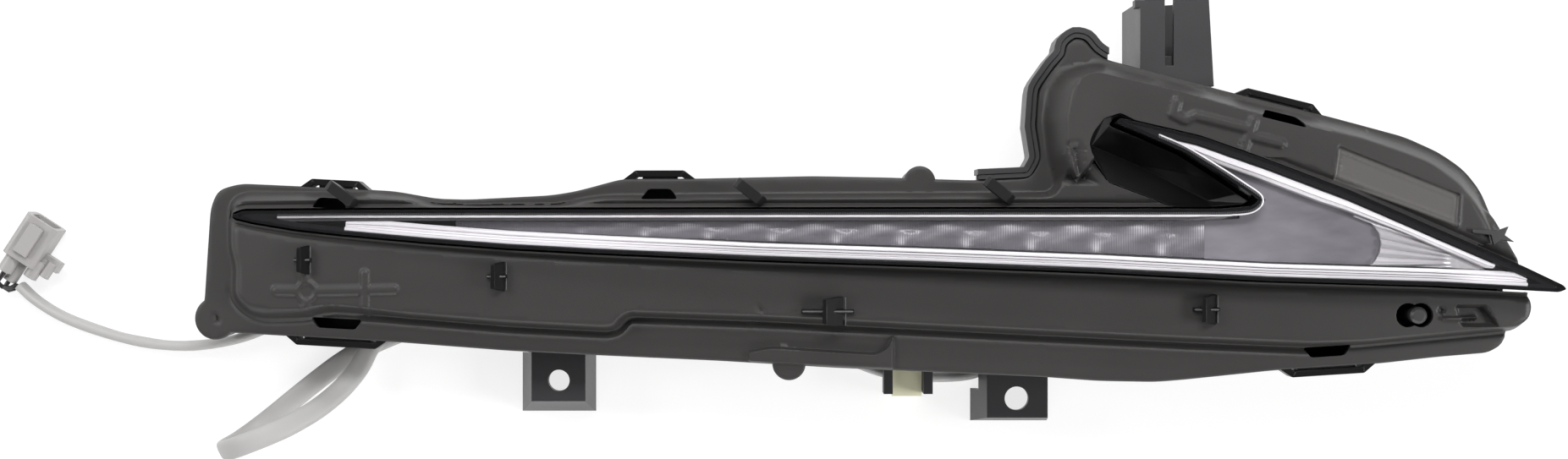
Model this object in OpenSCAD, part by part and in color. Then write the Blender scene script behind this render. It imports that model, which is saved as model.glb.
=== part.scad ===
// Daytime running light for the corner of a front bumper, arrow shaped, with its harness.
// The lamp lies on its back. X runs along the lamp to the arrow tip, Z points out of the lens.
// Outlines are drawn from the left edge of the lamp (x = 0) and the upper edge of the lens (y = 0).

/* [Overall] */
// Length from the left edge of the rim to the arrow tip
lamp_l = 519; // [505:1:540]
// Height of the back of the housing over its resting points
back_z = 14; // [12:0.5:16]
// Level of the cover's rim at the crown of its bow
rim_level = 56; // [52:0.5:60]
// Height of the raised face over the rim
face_rise = 8; // [6:0.5:10]
// Height of the upper wing over the raised face
wing_rise = 8; // [6:0.5:10]
// Height of the lens over the raised face
lens_rise = 13; // [10:0.5:15]
// Radius of the long bow of the cover
cover_bow_r = 2500; // [2300:50:3000]
// Radius of the long bow of the lens
lens_bow_r = 2110; // [2000:10:2400]

/* [Walls and gaps] */
// Wall of the rear housing
wall = 2.5; // [2:0.1:3]
// Wall of the front cover
cover_wall = 2.4; // [2:0.1:3]
// Gap between pieces that seat on each other
seat_gap = 0.2; // [0.15:0.05:0.4]
// Gap between the lens frame and the cover around it
lens_gap = 0.9; // [0.6:0.1:1.5]
// Setback of the housing wall under the rim
rim_overhang = 0.8; // [0.5:0.1:1.5]

/* [Lens] */
// Width of the black frame around the clear window
frame_w = 2.6; // [2.2:0.1:3]
// Thickness of the clear lens
lens_t = 2.6; // [2:0.1:3.2]
// Depth of the frame's skirt below the lens face
skirt_h = 19; // [17:0.5:20]
// Height of the sealing bead under the skirt
bead_h = 1.6; // [1.2:0.1:2.4]
// Height of the arrow's upper leg over the upper edge of the lens
leg_h = 34; // [30:0.5:36]
// Drop of the arrow tip below the upper edge of the lens
tip_drop = 29.7; // [27:0.1:31]

/* [Light units] */
// Width of the light strip along the upper edge
upper_strip_w = 1.2; // [0.9:0.1:1.8]
// Width of the light strip along the lower edge
lower_strip_w = 3.8; // [3:0.1:4.4]
// Spacing of the lamps and of the pillows over them
pillow_pitch = 12.2; // [11:0.1:14]
// Crown radius of one pillow
pillow_r = 9; // [8:0.5:14]
// Thickness of the pillow optic under its crowns
optic_t = 3; // [2.4:0.1:3.4]
// Thickness of the circuit board
board_t = 1.6; // [1:0.1:2]
// Side of one light emitting chip
chip_w = 3.5; // [2.5:0.1:4]
// Thickness of the aluminium strip under the boards
sink_t = 3; // [2:0.1:4]
// Spacing of the cooling fins
fin_pitch = 6; // [5:0.5:9]
// Spacing of the ribs of the corner reflector
rib_pitch = 2.5; // [2:0.1:4]

/* [Mounts] */
// Height of the mounting tabs over the resting points
tab_h = 20; // [18:0.5:22]
// Thickness of the mounting tabs
tab_t = 4; // [3:0.1:5]
// Diameter of the hole in the left tab
left_hole_d = 8.5; // [6:0.1:10]
// Diameter of the hole in the right tab
right_hole_d = 9.5; // [6:0.1:11]
// Distance of the left hole from the left edge
left_hole_x = 137.4; // [130:0.1:145]
// Height of the tower bracket over the resting points
tower_h = 44; // [38:0.5:48]
// Reach of the tower bracket above the upper edge of the lens
tower_reach = 84; // [80:0.5:90]
// Radius of the ear at the lower left corner
ear_r = 8.4; // [7:0.1:9]

/* [Snap loops and hooks] */
// Stand-out of a snap loop from the rim
loop_out = 3.2; // [2.8:0.1:4]
// Thickness of the bar of a snap loop
loop_t = 1.6; // [1.2:0.1:1.8]
// Depth of a snap loop below the rim
loop_h = 9; // [7:0.5:10]
// Height of the hooks on the face
hook_h = 6; // [4:0.5:8]
// Thickness of the hooks on the face
hook_t = 1.6; // [1.2:0.1:2.4]

/* [Harness] */
// Width of the flat sleeve
sleeve_w = 8.4; // [7:0.1:9]
// Thickness of the flat sleeve
sleeve_t = 4.2; // [3.6:0.1:4.4]
// Length of the rubber grommet
grommet_l = 11; // [9:0.5:13]
// Length of the harness clip along the sleeve
clip_l = 12; // [9:0.5:13]
// Diameter of a wire seal
seal_d = 4.6; // [4:0.1:5]

/* [Driver] */
// Length of the driver box on the back
driver_l = 52; // [46:1:58]
// Width of the driver box on the back
driver_w = 34; // [30:1:38]
// Diameter of the breather cap
breather_d = 14; // [11:0.5:16]
// Diameter of the heads of the small screws
screw_head_d = 6; // [5:0.1:7]
// Diameter of the small screws
screw_d = 3; // [2.5:0.1:3.5]

/* [Hidden] */

// Levels at the crown of the bow
face_level = rim_level + face_rise;
wing_level = face_level + wing_rise;
lens_level = face_level + lens_rise;
skirt_level = lens_level - skirt_h;
ledge_level = lens_level - lens_t - seat_gap;
bead_top = skirt_level - seat_gap;
ring_level = bead_top - bead_h - seat_gap;
housing_level = rim_level - cover_wall - seat_gap;
floor_z = back_z + wall;
tall = 110;

// Stack of the light units, as levels below the lens face
strip_level = ledge_level - 1;
optic_level = lens_level - 9;
chamber_level = optic_level - optic_t - seat_gap;
chamber_floor = chamber_level - 6;
board_level = chamber_floor - 1.4 - seat_gap;
sink_level = board_level - board_t - seat_gap;

// The outlines are drawn on a sheet 519 long, and stretched along the lamp to the length asked for
function tip(d) = 519 - d;
stretch = lamp_l / tip(0);
function lengthwise(rows) = [for (r = rows) [for (k = [0:len(r) - 1]) k == 0 ? r[0] * stretch : r[k]]];

// Position measured back from the arrow tip, and the drawn place of a position
function back(d) = tip(d) * stretch;
function drawn(x) = x / stretch;

// Bow of the cover and of the lens: crown position and height at x
bow_x = back(156);
lens_bow_x = back(112);
bow_fn = 1440;
span = 400;
function bow_drop(x, crown, r) = r - sqrt(r * r - (x - crown) * (x - crown));
function cover_z(x, level) = level - bow_drop(x, bow_x, cover_bow_r);
function lens_z(x, level) = level - bow_drop(x, lens_bow_x, lens_bow_r);
function slope(x) = asin((x - lens_bow_x) / lens_bow_r);

// Outline of the lens: upper edge, notch, upper leg, tip, lower edge
leg_k = leg_h - 34;
lens_points = lengthwise([[12, -2], [17, -0.3], [60, 0], [tip(130), 0.2], [tip(118), 1.2], [tip(115.2), 3.4],
    [tip(117.5), 5], [tip(130), 13.4], [tip(143), 21.3], [tip(158.5), 28.2 + leg_k / 2],
    [tip(168.5), 32.4 + leg_k], [tip(167), 34 + leg_k], [tip(136.6), 26.9 + leg_k / 2],
    [tip(111.5), 18.1], [tip(80), 6.2], [tip(48), -7.7], [tip(16), -tip_drop + 8.3],
    [tip(1.3), -tip_drop + 1.4], [tip(0), -tip_drop - 0.1], [tip(3), -tip_drop - 1.2],
    [tip(48), -tip_drop + 1.2], [tip(111.5), -26.6], [tip(174), -23.4], [tip(237), -21],
    [219, -19], [155, -16.3], [122, -14.6], [89, -12.2], [55, -9.2], [38, -7.4], [21, -4.7],
    [13.5, -3]]);

// Outline of the rim, without its bosses
rim_points = lengthwise([[-1.5, -36], [1, 1], [4, 8], [13, 10.6], [37, 9.5], [75, 7.5], [92, 4.5], [104, 4.1],
    [137, 5.7], [147, 7.3], [165, 12.1], [195, 12.1], [238, 13], [tip(252), 12.4], [tip(220), 11.3],
    [tip(198), 12.3], [tip(194), 19.4], [tip(196), 32], [tip(195), 46], [tip(189), 54.5],
    [tip(185), 59], [tip(184.5), 63], [tip(181), 65.8], [tip(177), 65], [tip(173.5), 60.5],
    [tip(169), 57.5], [tip(157), 54.3], [tip(124), 45.6], [tip(82), 35.3], [tip(54.5), 28],
    [tip(41), 22], [tip(31.5), 15.5], [tip(25), 7.5], [tip(21), -2], [tip(18), -9],
    [tip(14.5), -17], [tip(15), -48], [tip(17), -52], [tip(22), -54.8], [tip(41), -56.3],
    [tip(64), -58.8], [tip(105), -61.4], [tip(139), -64.9], [tip(150), -65.8], [tip(172), -65.4],
    [tip(194), -63.8], [tip(236), -62], [246, -60.5], [202, -58], [153, -56], [120, -54.5],
    [77, -51.5], [30, -49.2], [6, -48], [-3, -43]]);

// Outline of the raised face
face_points = lengthwise([[8, -1], [9, 3.5], [12, 6.5], [17, 7.9], [68, 7.3], [81, 6], [92, 3.2],
    [108, 2.6], [141, 3], [150, 4.8], [158, 5.9], [202, 6.3], [tip(219), 6.7], [tip(190), 7], [tip(186), 20],
    [tip(60), 20], [tip(22), 0], [tip(10), -20], [tip(7.5), -30], [tip(5.5), -37],
    [tip(7), -42.5], [tip(12), -46.3], [tip(43), -49.1], [tip(73), -51.9], [tip(92), -52.5],
    [tip(140), -50.5], [tip(204), -47.4], [251, -44.3], [219, -42.7], [167, -41], [163, -46],
    [159, -46.8], [121, -45], [65, -40.7], [50, -40.1], [40, -42.6], [24, -43.2], [17.5, -41.9],
    [12, -37.7], [9.6, -33.4], [9.9, -21.9], [8, -15.3]]);

// Wing of the cover: foot of its slope and its crest, point for point
wing_foot = lengthwise([[tip(189), 4], [tip(193.2), 20], [tip(195), 34], [tip(193.6), 46], [tip(187), 54],
    [tip(172), 57], [tip(139), 49], [tip(118), 43.2], [tip(82), 34.4], [tip(74), 32.4],
    [tip(55), 27], [tip(42), 21.4], [tip(32.5), 15], [tip(26), 7], [tip(22), -3], [tip(19), -12],
    [tip(48), -16], [tip(120), 8], [tip(168), 22], [tip(176), 14]]);
wing_crest = lengthwise([[tip(182), 11], [tip(185), 22], [tip(185.5), 35], [tip(183), 46.5], [tip(179.5), 50.3],
    [tip(175), 51.6], [tip(145), 44.5], [tip(120), 37.2], [tip(91), 30], [tip(75), 26],
    [tip(62.5), 21.5], [tip(50), 16.5], [tip(40), 8.8], [tip(32), -0.7], [tip(28), -8],
    [tip(26), -14], [tip(48), -12], [tip(119), 13], [tip(168), 26], [tip(176), 20]]);

// Deep trim in the notch of the arrow
pocket_points = lengthwise([[tip(112), 2], [tip(112), 8], [tip(166), 36], [tip(172), 34], [tip(176), 29],
    [tip(177.5), 25], [tip(176.5), 21], [tip(169.5), 10.5], [tip(146), 1.5], [tip(128), -1]]);
pocket_valley = lengthwise([[tip(174.5), 24.5], [tip(158), 17.5], [tip(130.5), 3.5]]);
label_points = lengthwise([[tip(84.4), 24], [tip(38), 5.8], [tip(39), -6.5], [tip(86.3), 11]]);
loops = lengthwise([[51.4, 8.74, 29, -3], [179.2, 12.1, 29, 0], [tip(103), 40.45, 36, -13.8],
    [52, -50.28, 42, 177.2], [tip(84), -60.07, 38, 183.6]]);
plates = lengthwise([[41.5, -19.3, 4.4, 7], [118, -25.5, 5.5, 8], [246, -38.5, 9, 20],
    [tip(131.5), -37.7, 7, 10]]);
fingers = lengthwise([[58.5, 4.6], [216, 5.2], [tip(209), 5.8]]);

function reversed(list) = [for (i = [len(list) - 1:-1:0]) list[i]];

// Pulls each corner of a counterclockwise outline inward by d along its two edges' bisector
function unit(v) = v / norm(v);
function inward(a, b) = [a[1] - b[1], b[0] - a[0]] / norm(b - a);
function inset(list, d) = [for (i = [0:len(list) - 1])
    let (n = len(list), a = inward(list[(i + n - 1) % n], list[i]), b = inward(list[i], list[(i + 1) % n]))
        list[i] + d * (a + b) / max(1 + a * b, 0.7)];

// Eases the sharper corners of an outline over a distance c on each side
function bend(list, i, n) = let (a = list[i] - list[(i + n - 1) % n], b = list[(i + 1) % n] - list[i])
    acos(min(max(unit(a) * unit(b), -1), 1));
function soft(list, c) = [for (i = [0:len(list) - 1])
    let (n = len(list), p = list[i], a = list[(i + n - 1) % n] - p, b = list[(i + 1) % n] - p,
        d = min(c, 0.35 * norm(a), 0.35 * norm(b)))
            each (bend(list, i, n) < 14 ? [p] :
                [p + d * unit(a), p + d * (unit(a) + unit(b)) / 4, p + d * unit(b)])];

module lens_shape() polygon(soft(lens_points, 0.8));
module window_shape() offset(delta = -frame_w) lens_shape();
module rim_shape() polygon(soft(rim_points, 2));
module hollow_shape() polygon(inset(reversed(rim_points), rim_overhang + wall));
module face_shape() polygon(soft(face_points, 2.5));
module pocket_shape() {
    difference() {
        polygon(pocket_points);
        offset(delta = 2 * lens_gap) lens_shape();
    }
}

// Slab between two levels of a bow, as wide as the whole lamp, and everything below one level
module bow_slab(low, high, crown, r) {
    rotate([90, 0, 0])
        linear_extrude(span, center = true)
            intersection() {
                translate([crown, high - r]) circle(r = r, $fn = bow_fn);
                difference() {
                    translate([-40, -20]) square([lamp_l + 80, tall + 20]);
                    translate([crown, low - r]) circle(r = r, $fn = bow_fn);
                }
            }
}
module below_bow(high, crown, r) {
    rotate([90, 0, 0])
        linear_extrude(span, center = true)
            intersection() {
                translate([crown, high - r]) circle(r = r, $fn = bow_fn);
                translate([-40, -20]) square([lamp_l + 80, tall + 20]);
            }
}
module under_bow(level) below_bow(level, bow_x, cover_bow_r);
module under_lens_bow(level) below_bow(level, lens_bow_x, lens_bow_r);

// An outline carried up to a level of a bow, and an outline carried up between two levels
module cover_column(high) {
    intersection() {
        linear_extrude(tall) children();
        under_bow(high);
    }
}
module cover_layer(low, high) {
    intersection() {
        linear_extrude(tall) children();
        bow_slab(low, high, bow_x, cover_bow_r);
    }
}
module lens_column(high) {
    intersection() {
        linear_extrude(tall) children();
        under_lens_bow(high);
    }
}
module lens_layer(low, high) {
    intersection() {
        linear_extrude(tall) children();
        bow_slab(low, high, lens_bow_x, lens_bow_r);
    }
}

// Solid between two outlines of equal point count, listed counterclockwise
module loft(low, high, low_z, high_z) {
    n = len(low);
    polyhedron(points = concat([for (p = low) [p[0], p[1], low_z]], [for (p = high) [p[0], p[1], high_z]]),
        faces = concat([[for (i = [0:n - 1]) i]], [[for (i = [0:n - 1]) 2 * n - 1 - i]],
            [for (i = [0:n - 1]) [i, n + i, n + (i + 1) % n]],
            [for (i = [0:n - 1]) [i, n + (i + 1) % n, (i + 1) % n]]));
}

// Places on the lamp
ear = [3, -42.6];
low_x = ear[0] - ear_r;
low_y = -85.4;
bosses = lengthwise([[279, 10.8, 6], [229, -59, 6.4]]);
pin = [back(54), -40];
pin_d = 6.4;
stud = [22, -12];
driver = [back(144), -41];
exit_y = driver[1] - 9;
exit_z = 8.5;
left_tab = [left_hole_x - 10.9, left_hole_x + 10.6, -76, -53.2];
right_hole_x = back(199.2);
right_tab = [right_hole_x - 11.8, right_hole_x + 12.4, -82.6, -57];
tower_x = back(140);
wing_cut = [back(218), 9.5];
shell_out = 4.2;
shell_gap = 2;
breather = [200 * stretch, -32];
pad_points = lengthwise([[213, -58.6], [213, -54], [222, -52.3], [262, -54.6], [266, -52.5], [268.5, -48],
    [269.3, -48], [269.3, -61.2], [246, -60.3]]);

// Moves every node so that the origin is under the middle of the lamp's box
module placed() translate([-(lamp_l + low_x) / 2, -(tower_reach + low_y) / 2, 0]) children();

module at_loop(l) translate([l[0], l[1], 0]) rotate(l[3]) children();

// Bar and legs of a snap loop, seen from the front
module loop_shape(length, root) {
    difference() {
        polygon([[-length / 2, root], [-length / 2 + 5, loop_out], [length / 2 - 5, loop_out],
            [length / 2, root]]);
        translate([-length / 2 + 7, -2])
            square([length - 14, loop_out + 2 - loop_t]);
    }
}

// Mounting tab: a pad with a flared skirt that stands on the resting plane
module tab(box, flare_left, flare_right, flare_low) {
    left = box[0];
    right = box[1];
    low = box[2];
    high = box[3];
    pad = [[left, low], [right, low], [right, high], [left, high]];
    foot = [[left - flare_left, low - flare_low], [right + flare_right, low - flare_low],
        [right + flare_right, high], [left - flare_left, high]];
    hollow_pad = [[left + wall, low + wall], [right - wall, low + wall], [right - wall, high + 1],
        [left + wall, high + 1]];
    hollow_foot = [[left - flare_left + wall, low - flare_low + wall],
        [right + flare_right - wall, low - flare_low + wall], [right + flare_right - wall, high + 1],
        [left - flare_left + wall, high + 1]];
    difference() {
        loft(foot, pad, 0, tab_h);
        loft(hollow_foot, hollow_pad, -0.01, tab_h - tab_t);
    }
}

// Tower bracket behind the wing: a channel with an open groove and a lip at its top
module tower() {
    outline = [[-14, 48], [14.5, 48], [12.5, tower_reach - 0.6], [7, tower_reach], [-8, tower_reach - 1],
        [-14, tower_reach - 3]];
    difference() {
        translate([tower_x, 0, 0])
            linear_extrude(tower_h) polygon(outline);
        translate([tower_x - 14 + wall, 60, wall])
            cube([28 - 2 * wall, tower_reach, tower_h - 2 * wall]);
        translate([tower_x - 4.5, 56, tower_h - wall - 1])
            cube([3.5, tower_reach, wall + 2]);
    }
    translate([tower_x - 16, tower_reach - 5.5, tower_h - 6])
        cube([4, 3, 6]);
}

module rear_housing() color([0.09, 0.09, 0.09]) placed() {
    difference() {
        tub_column(housing_level) offset(delta = -rim_overhang) rim_shape();
        translate([0, 0, floor_z])
            linear_extrude(tall) hollow_shape();
        translate([breather[0], breather[1], 0])
            cylinder(d = 6, h = floor_z + 1, $fn = 32);
    }
    for (b = bosses)
        tub_column(housing_level - 0.1)
            translate([b[0], b[1]]) circle(r = b[2] - rim_overhang, $fn = 48);
    tub_column(housing_level - 0.1)
        translate(ear) circle(r = ear_r - rim_overhang, $fn = 48);
    wing_shell();
    back_ribs();
    intersection() {
        translate([0, 0, floor_z - 0.5])
            linear_extrude(tall)
                difference() {
                    lens_shape();
                    window_shape();
                }
        under_lens_bow(ring_level);
    }
    for (p = [[back(170), 22], [back(140), 6]])
        translate([p[0], p[1], back_z + 1])
            cylinder(r = 3, h = pocket_low - seat_gap - back_z - 1, $fn = 32);
    translate([pin[0], pin[1], back_z + 1])
        cylinder(d = pin_d + 3, h = pin_low - seat_gap - back_z - 1, $fn = 32);
    translate([stud[0], stud[1], 0])
        cylinder(r = 5, h = back_z + 1, $fn = 32);
    difference() {
        union() {
            difference() {
                tab(left_tab, 6, 2.5, 5.5);
                translate([left_tab[0] - 20, -57.5, -1])
                    cube([60, 40, back_z + 1]);
            }
            tab(right_tab, 5, 2, 2.8);
        }
        translate([left_hole_x, -67.7, -1])
            cylinder(d = left_hole_d, h = tall, $fn = 48);
        translate([right_hole_x, -74.9, -1])
            cylinder(d = right_hole_d, h = tall, $fn = 48);
        translate([right_tab[0] - 9, -72.2, -1])
            cube([12, 10, 10.8]);
    }
    tower();
    for (l = loops)
        catch_tooth(l);
    driver_box();
    clip_prongs();
}

// Outline carried up from the back of the tub to a level of the cover's bow
module tub_column(high) {
    intersection() {
        translate([0, 0, back_z]) linear_extrude(tall) children();
        under_bow(high);
    }
}

// Outer wall of the tub round the wing, with the shelf that the cover's seal lies on
shelf_level = housing_level - 0.4;
module wing_cut_shape() translate(wing_cut) square([50, 80]);
module wing_band(inner, outer) {
    intersection() {
        difference() {
            offset(delta = outer) rim_shape();
            offset(delta = inner) rim_shape();
        }
        wing_cut_shape();
    }
}
module wing_shell() {
    cover_layer(shelf_level - 4, shelf_level) wing_band(-rim_overhang - wall / 2, shell_out - 0.5);
    cover_layer(shelf_level - 12, rim_level + 1) wing_band(shell_gap, shell_out);
}

// Ribs that stiffen the back of the tub
rib_h = 3;
rib_t = 1.6;
module back_ribs() {
    translate([0, 0, back_z - rib_h])
        linear_extrude(rib_h + 0.5)
            intersection() {
                difference() {
                    hollow_shape();
                    translate([driver[0] - driver_l / 2, driver[1] - driver_w / 2])
                        square([driver_l, driver_w]);
                    translate(breather) circle(d = breather_d + 2, $fn = 32);
                }
                union() {
                    for (x = [60:45:lamp_l - 30])
                        translate([x, -80]) square([rib_t, 160]);
                    for (y = [-30, 1])
                        translate([30, y]) square([lamp_l, rib_t]);
                }
            }
}

// Catch that a snap loop closes over
module catch_tooth(l) {
    length = l[2] - 15.5;
    cover_layer(rim_level - loop_h, rim_level - 3.2)
        at_loop(l)
            translate([-length / 2, -1.5])
                square([length, loop_out + 1.5 - loop_t - seat_gap - 0.1]);
}

// Open box for the driver, with walls that its lid closes
lid_t = 2.4;
lid_z = 1.2;
gasket_t = 1;
box_z = lid_z + lid_t + gasket_t + 0.2;
module driver_box() {
    difference() {
        translate([driver[0] - driver_l / 2, driver[1] - driver_w / 2, box_z])
            cube([driver_l, driver_w, back_z - box_z + 0.5]);
        translate([driver[0] - driver_l / 2 + wall, driver[1] - driver_w / 2 + wall, box_z - 1])
            cube([driver_l - 2 * wall, driver_w - 2 * wall, back_z - box_z + 1]);
        translate([driver[0] - driver_l / 2 - 1, exit_y - sleeve_w / 2 - 1.5, exit_z - sleeve_t / 2 - 1.2])
            cube([wall + 2, sleeve_w + 3, sleeve_t + 2.4]);
    }
}

// Prongs that hold the harness clip
clip = [276.5 * stretch, -68];
prong_t = 3.6;
module clip_prongs() {
    for (side = [-1, 1])
        translate([clip[0] + side * (clip_l / 2 + 0.15 + prong_t / 2) - prong_t / 2, -73, 10])
            cube([prong_t, 14, 12]);
}

pocket_low = rim_level - 6;
pin_low = face_level - 18;

// Cover: a rim, a raised face and a wing, hollow at the back, with hooks and snap loops
module front_cover() color([0.12, 0.115, 0.11]) placed() {
    difference() {
        union() {
            cover_layer(rim_level - cover_wall, rim_level) rim_shape();
            cover_layer(rim_level - cover_wall, rim_level)
                translate(ear) circle(r = ear_r, $fn = 48);
            for (b = bosses)
                cover_layer(rim_level - cover_wall, rim_level)
                    translate([b[0], b[1]]) circle(r = b[2], $fn = 48);
            cover_layer(rim_level - cover_wall, face_level) face_shape();
            wing_solid(wing_foot, wing_crest, 0, wing_level);
            for (l = loops) {
                cover_layer(rim_level - loop_h, rim_level - 0.4)
                    at_loop(l) loop_shape(l[2], seat_gap - rim_overhang);
            }
            cover_layer(rim_level - 0.5, rim_level + 1.8) polygon(pad_points);
            cover_layer(rim_level - 0.5, rim_level + 0.9) groove_bead();
        }
        difference() {
            cover_layer(rim_level - cover_wall - 1, face_level - cover_wall)
                offset(delta = -cover_wall) face_shape();
            linear_extrude(tall) pin_pocket(cover_wall);
        }
        wing_solid(wing_foot, wing_crest, 1.6 * cover_wall, wing_level - cover_wall);
        linear_extrude(tall) offset(delta = lens_gap) lens_shape();
        linear_extrude(tall) offset(delta = seat_gap) polygon(pocket_points);
        cover_layer(wing_level - 0.8, wing_level + 1) polygon(label_points);
        linear_extrude(tall) pin_pocket(0);
        translate([ear[0] + 0.5, ear[1], cover_z(ear[0], rim_level) - 1.5])
            cylinder(d = 2.6, h = 3, $fn = 24);
        for (l = loops)
            at_loop(l) linear_extrude(tall)
                polygon([[-l[2] / 4, -8], [-l[2] / 4 + 3, -4], [l[2] / 4 - 3, -4], [l[2] / 4, -8]]);
    }
    for (p = plates)
        face_plate(p);
    for (f = fingers)
        face_finger(f);
}

module wing_solid(foot, crest, d, level) {
    difference() {
        intersection() {
            loft(inset(reversed(foot), d), inset(reversed(crest), d), rim_level - 5, wing_level + 1);
            under_bow(level);
        }
        if (d == 0)
            under_bow(rim_level - cover_wall);
    }
}

module groove_bead() {
    intersection() {
        difference() {
            offset(delta = 3.2) face_shape();
            offset(delta = 2.2) face_shape();
        }
        translate([60, -56]) square([back(80) - 60, 18]);
    }
}

module pin_pocket(extra) {
    for (x = [-1.6, 3.4])
        translate([pin[0] + x, pin[1]]) circle(r = pin_d / 2 + 1.4 + extra, $fn = 32);
}

// Leaning plate with a cross rib: x, y of its middle, reach of its lean, length of its rib
module face_plate(p) {
    base = cover_z(p[0], face_level) - 0.6;
    translate([p[0], p[1] - 5.8, base])
        rotate([90, 0, 0]) mirror([0, 0, 1])
            linear_extrude(11.6)
                polygon([[p[2] / 2 - hook_t, 0], [p[2] / 2, 0], [-p[2] / 2 + hook_t, hook_h],
                    [-p[2] / 2, hook_h]]);
    translate([p[0] - p[3] * 0.62, p[1] - 0.7, base])
        cube([p[3], 1.4, hook_h * 0.55]);
}

// Slanted finger hook beside the upper edge of the lens
module face_finger(f) {
    base = cover_z(f[0], face_level) - 0.6;
    translate([f[0], f[1], base])
        rotate(-38)
            translate([-6.5, -1.7, 0])
                rotate([90, 0, 0]) mirror([0, 0, 1])
                    linear_extrude(3.4)
                        polygon([[1, 0], [11, 0], [9, hook_h * 0.7], [-1, hook_h], [-2.5, hook_h - 1.8]]);
}

// Black frame of the lens: a skirt with a rabbet for the clear lens
module lens_frame() color([0.02, 0.02, 0.02]) placed() {
    lens_layer(skirt_level, ledge_level)
        difference() {
            lens_shape();
            window_shape();
        }
    lens_layer(ledge_level - 0.01, lens_level)
        difference() {
            lens_shape();
            offset(delta = -1) lens_shape();
        }
}

module outer_lens() color([0.75, 0.8, 0.85]) placed() {
    lens_layer(ledge_level + seat_gap, lens_level)
        offset(delta = -1.15) lens_shape();
}

module lens_seal() color([0.03, 0.03, 0.03]) placed() {
    lens_layer(ring_level + seat_gap, bead_top)
        difference() {
            offset(delta = -0.4) lens_shape();
            offset(delta = 0.4 - frame_w) lens_shape();
        }
}

module cover_seal() color([0.02, 0.02, 0.02]) placed()
    cover_layer(shelf_level + seat_gap, rim_level + 0.6)
        intersection() {
            wing_band(seat_gap, shell_gap - seat_gap);
            translate(wing_cut + [0.4, 0.4]) square([49, 79]);
        }

// Gloss trim in the notch: two slopes that meet in a valley
pocket_rim = [3, 4, 7, 7, 7, 6, 4, 0, -1, -1];
pocket_sink = [8, 9, 8];
module pocket_trim() color([0.01, 0.01, 0.01]) placed() {
    n = len(pocket_points);
    v = 2 * n;
    inner = inset(pocket_points, 0.1);
    top = [for (i = [0:n - 1]) [inner[i][0], inner[i][1], face_level - 1 + pocket_rim[i]]];
    bottom = [for (p = inner) [p[0], p[1], pocket_low]];
    valley = [for (i = [0:2]) [pocket_valley[i][0], pocket_valley[i][1], face_level - pocket_sink[i]]];
    difference() {
        polyhedron(points = concat(top, bottom, valley),
            faces = concat([[for (i = [0:n - 1]) n + i]],
                [for (i = [0:n - 1]) [n + i, i, (i + 1) % n]],
                [for (i = [0:n - 1]) [n + i, (i + 1) % n, n + (i + 1) % n]],
                [[v + 2, 1, 0], [v + 1, 2, 1], [v + 2, v + 1, 1], [v, 3, 2], [v + 1, v, 2], [v, 4, 3],
                    [v, 5, 4], [v, 6, 5], [v, 7, 6], [v, v + 1, 7], [v + 1, 8, 7], [v + 1, v + 2, 8],
                    [v + 2, 9, 8], [v + 2, 0, 9]]));
        translate([0, 0, 10])
            linear_extrude(tall) offset(delta = lens_gap) lens_shape();
    }
}

// Area inside the skirt, the strips along its edges and the areas between them
module inside_shape() offset(delta = -frame_w - 0.3) lens_shape();
module upper_band() {
    intersection() {
        difference() {
            inside_shape();
            translate([0, -upper_strip_w]) inside_shape();
        }
        polygon([[24, 4], [24, -8], [back(150), -8], [back(121), -5], [back(121), 4]]);
    }
}
module lower_band() {
    intersection() {
        difference() {
            inside_shape();
            translate([0, lower_strip_w]) inside_shape();
        }
        translate([50, -40]) square([lamp_l, 35]);
    }
}
module leg_band() {
    intersection() {
        difference() {
            inside_shape();
            translate([-upper_strip_w, -2.2]) inside_shape();
        }
        polygon([[back(148), 40], [back(148), 21], [back(112), 9], [back(70), -7], [back(24), -22.5],
            [back(8), -24], [back(8), 40]]);
    }
}
stack_x = 100 * stretch;
module middle_shape() {
    difference() {
        inside_shape();
        offset(delta = seat_gap) upper_band();
        offset(delta = seat_gap) lower_band();
        offset(delta = seat_gap) leg_band();
        translate([0, -40]) square([stack_x, 80]);
    }
}
bezel_x = back(134);
fan_x = back(81);
module left_of_fan(extra) {
    translate([0, -60]) square([fan_x + extra, 120]);
    translate([fan_x, -12]) circle(r = 13 + extra, $fn = 48);
}

module upper_light_strip() color([0.93, 0.93, 0.95]) placed()
    lens_layer(chamber_level + seat_gap, strip_level) upper_band();
module lower_light_strip() color([0.93, 0.93, 0.95]) placed()
    lens_layer(chamber_level + seat_gap, strip_level) lower_band();
module leg_light_strip() color([0.93, 0.93, 0.95]) placed()
    lens_layer(chamber_level + seat_gap, strip_level) leg_band();

// Row of lamps along the middle of the optic, and the crown over each, staggered where there is room
first_x = 165 * stretch;
lamps = floor((bezel_x - 8 - first_x) / pillow_pitch);
function lamp_x(i) = first_x + i * pillow_pitch;
function band_half(x) = 2.75 + drawn(x - first_x) * 0.0198;
function lamp_y(x) = -7.05 - drawn(x - first_x) * 0.0198;
function crown_w(x) = 0.8 * min(band_half(x) - 0.4, 0.42 * pillow_pitch);
function crown_y(i) = lamp_y(lamp_x(i))
    + (i % 2 == 0 ? 1 : -1) * (band_half(lamp_x(i)) - crown_w(lamp_x(i)) - 0.4);
module crown(x, y) {
    w = crown_w(x);
    rise = pillow_r - sqrt(pillow_r * pillow_r - w * w);
    translate([x, y, lens_z(x, optic_level)])
        rotate([0, slope(x), 0])
            rotate_extrude($fn = 40)
                polygon([[0, -0.6], [w, -0.6], [w, 0.1], [0.8 * w, 0.38 * rise + 0.1],
                    [0.5 * w, 0.76 * rise + 0.1], [0.2 * w, rise], [0, rise]]);
}

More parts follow.
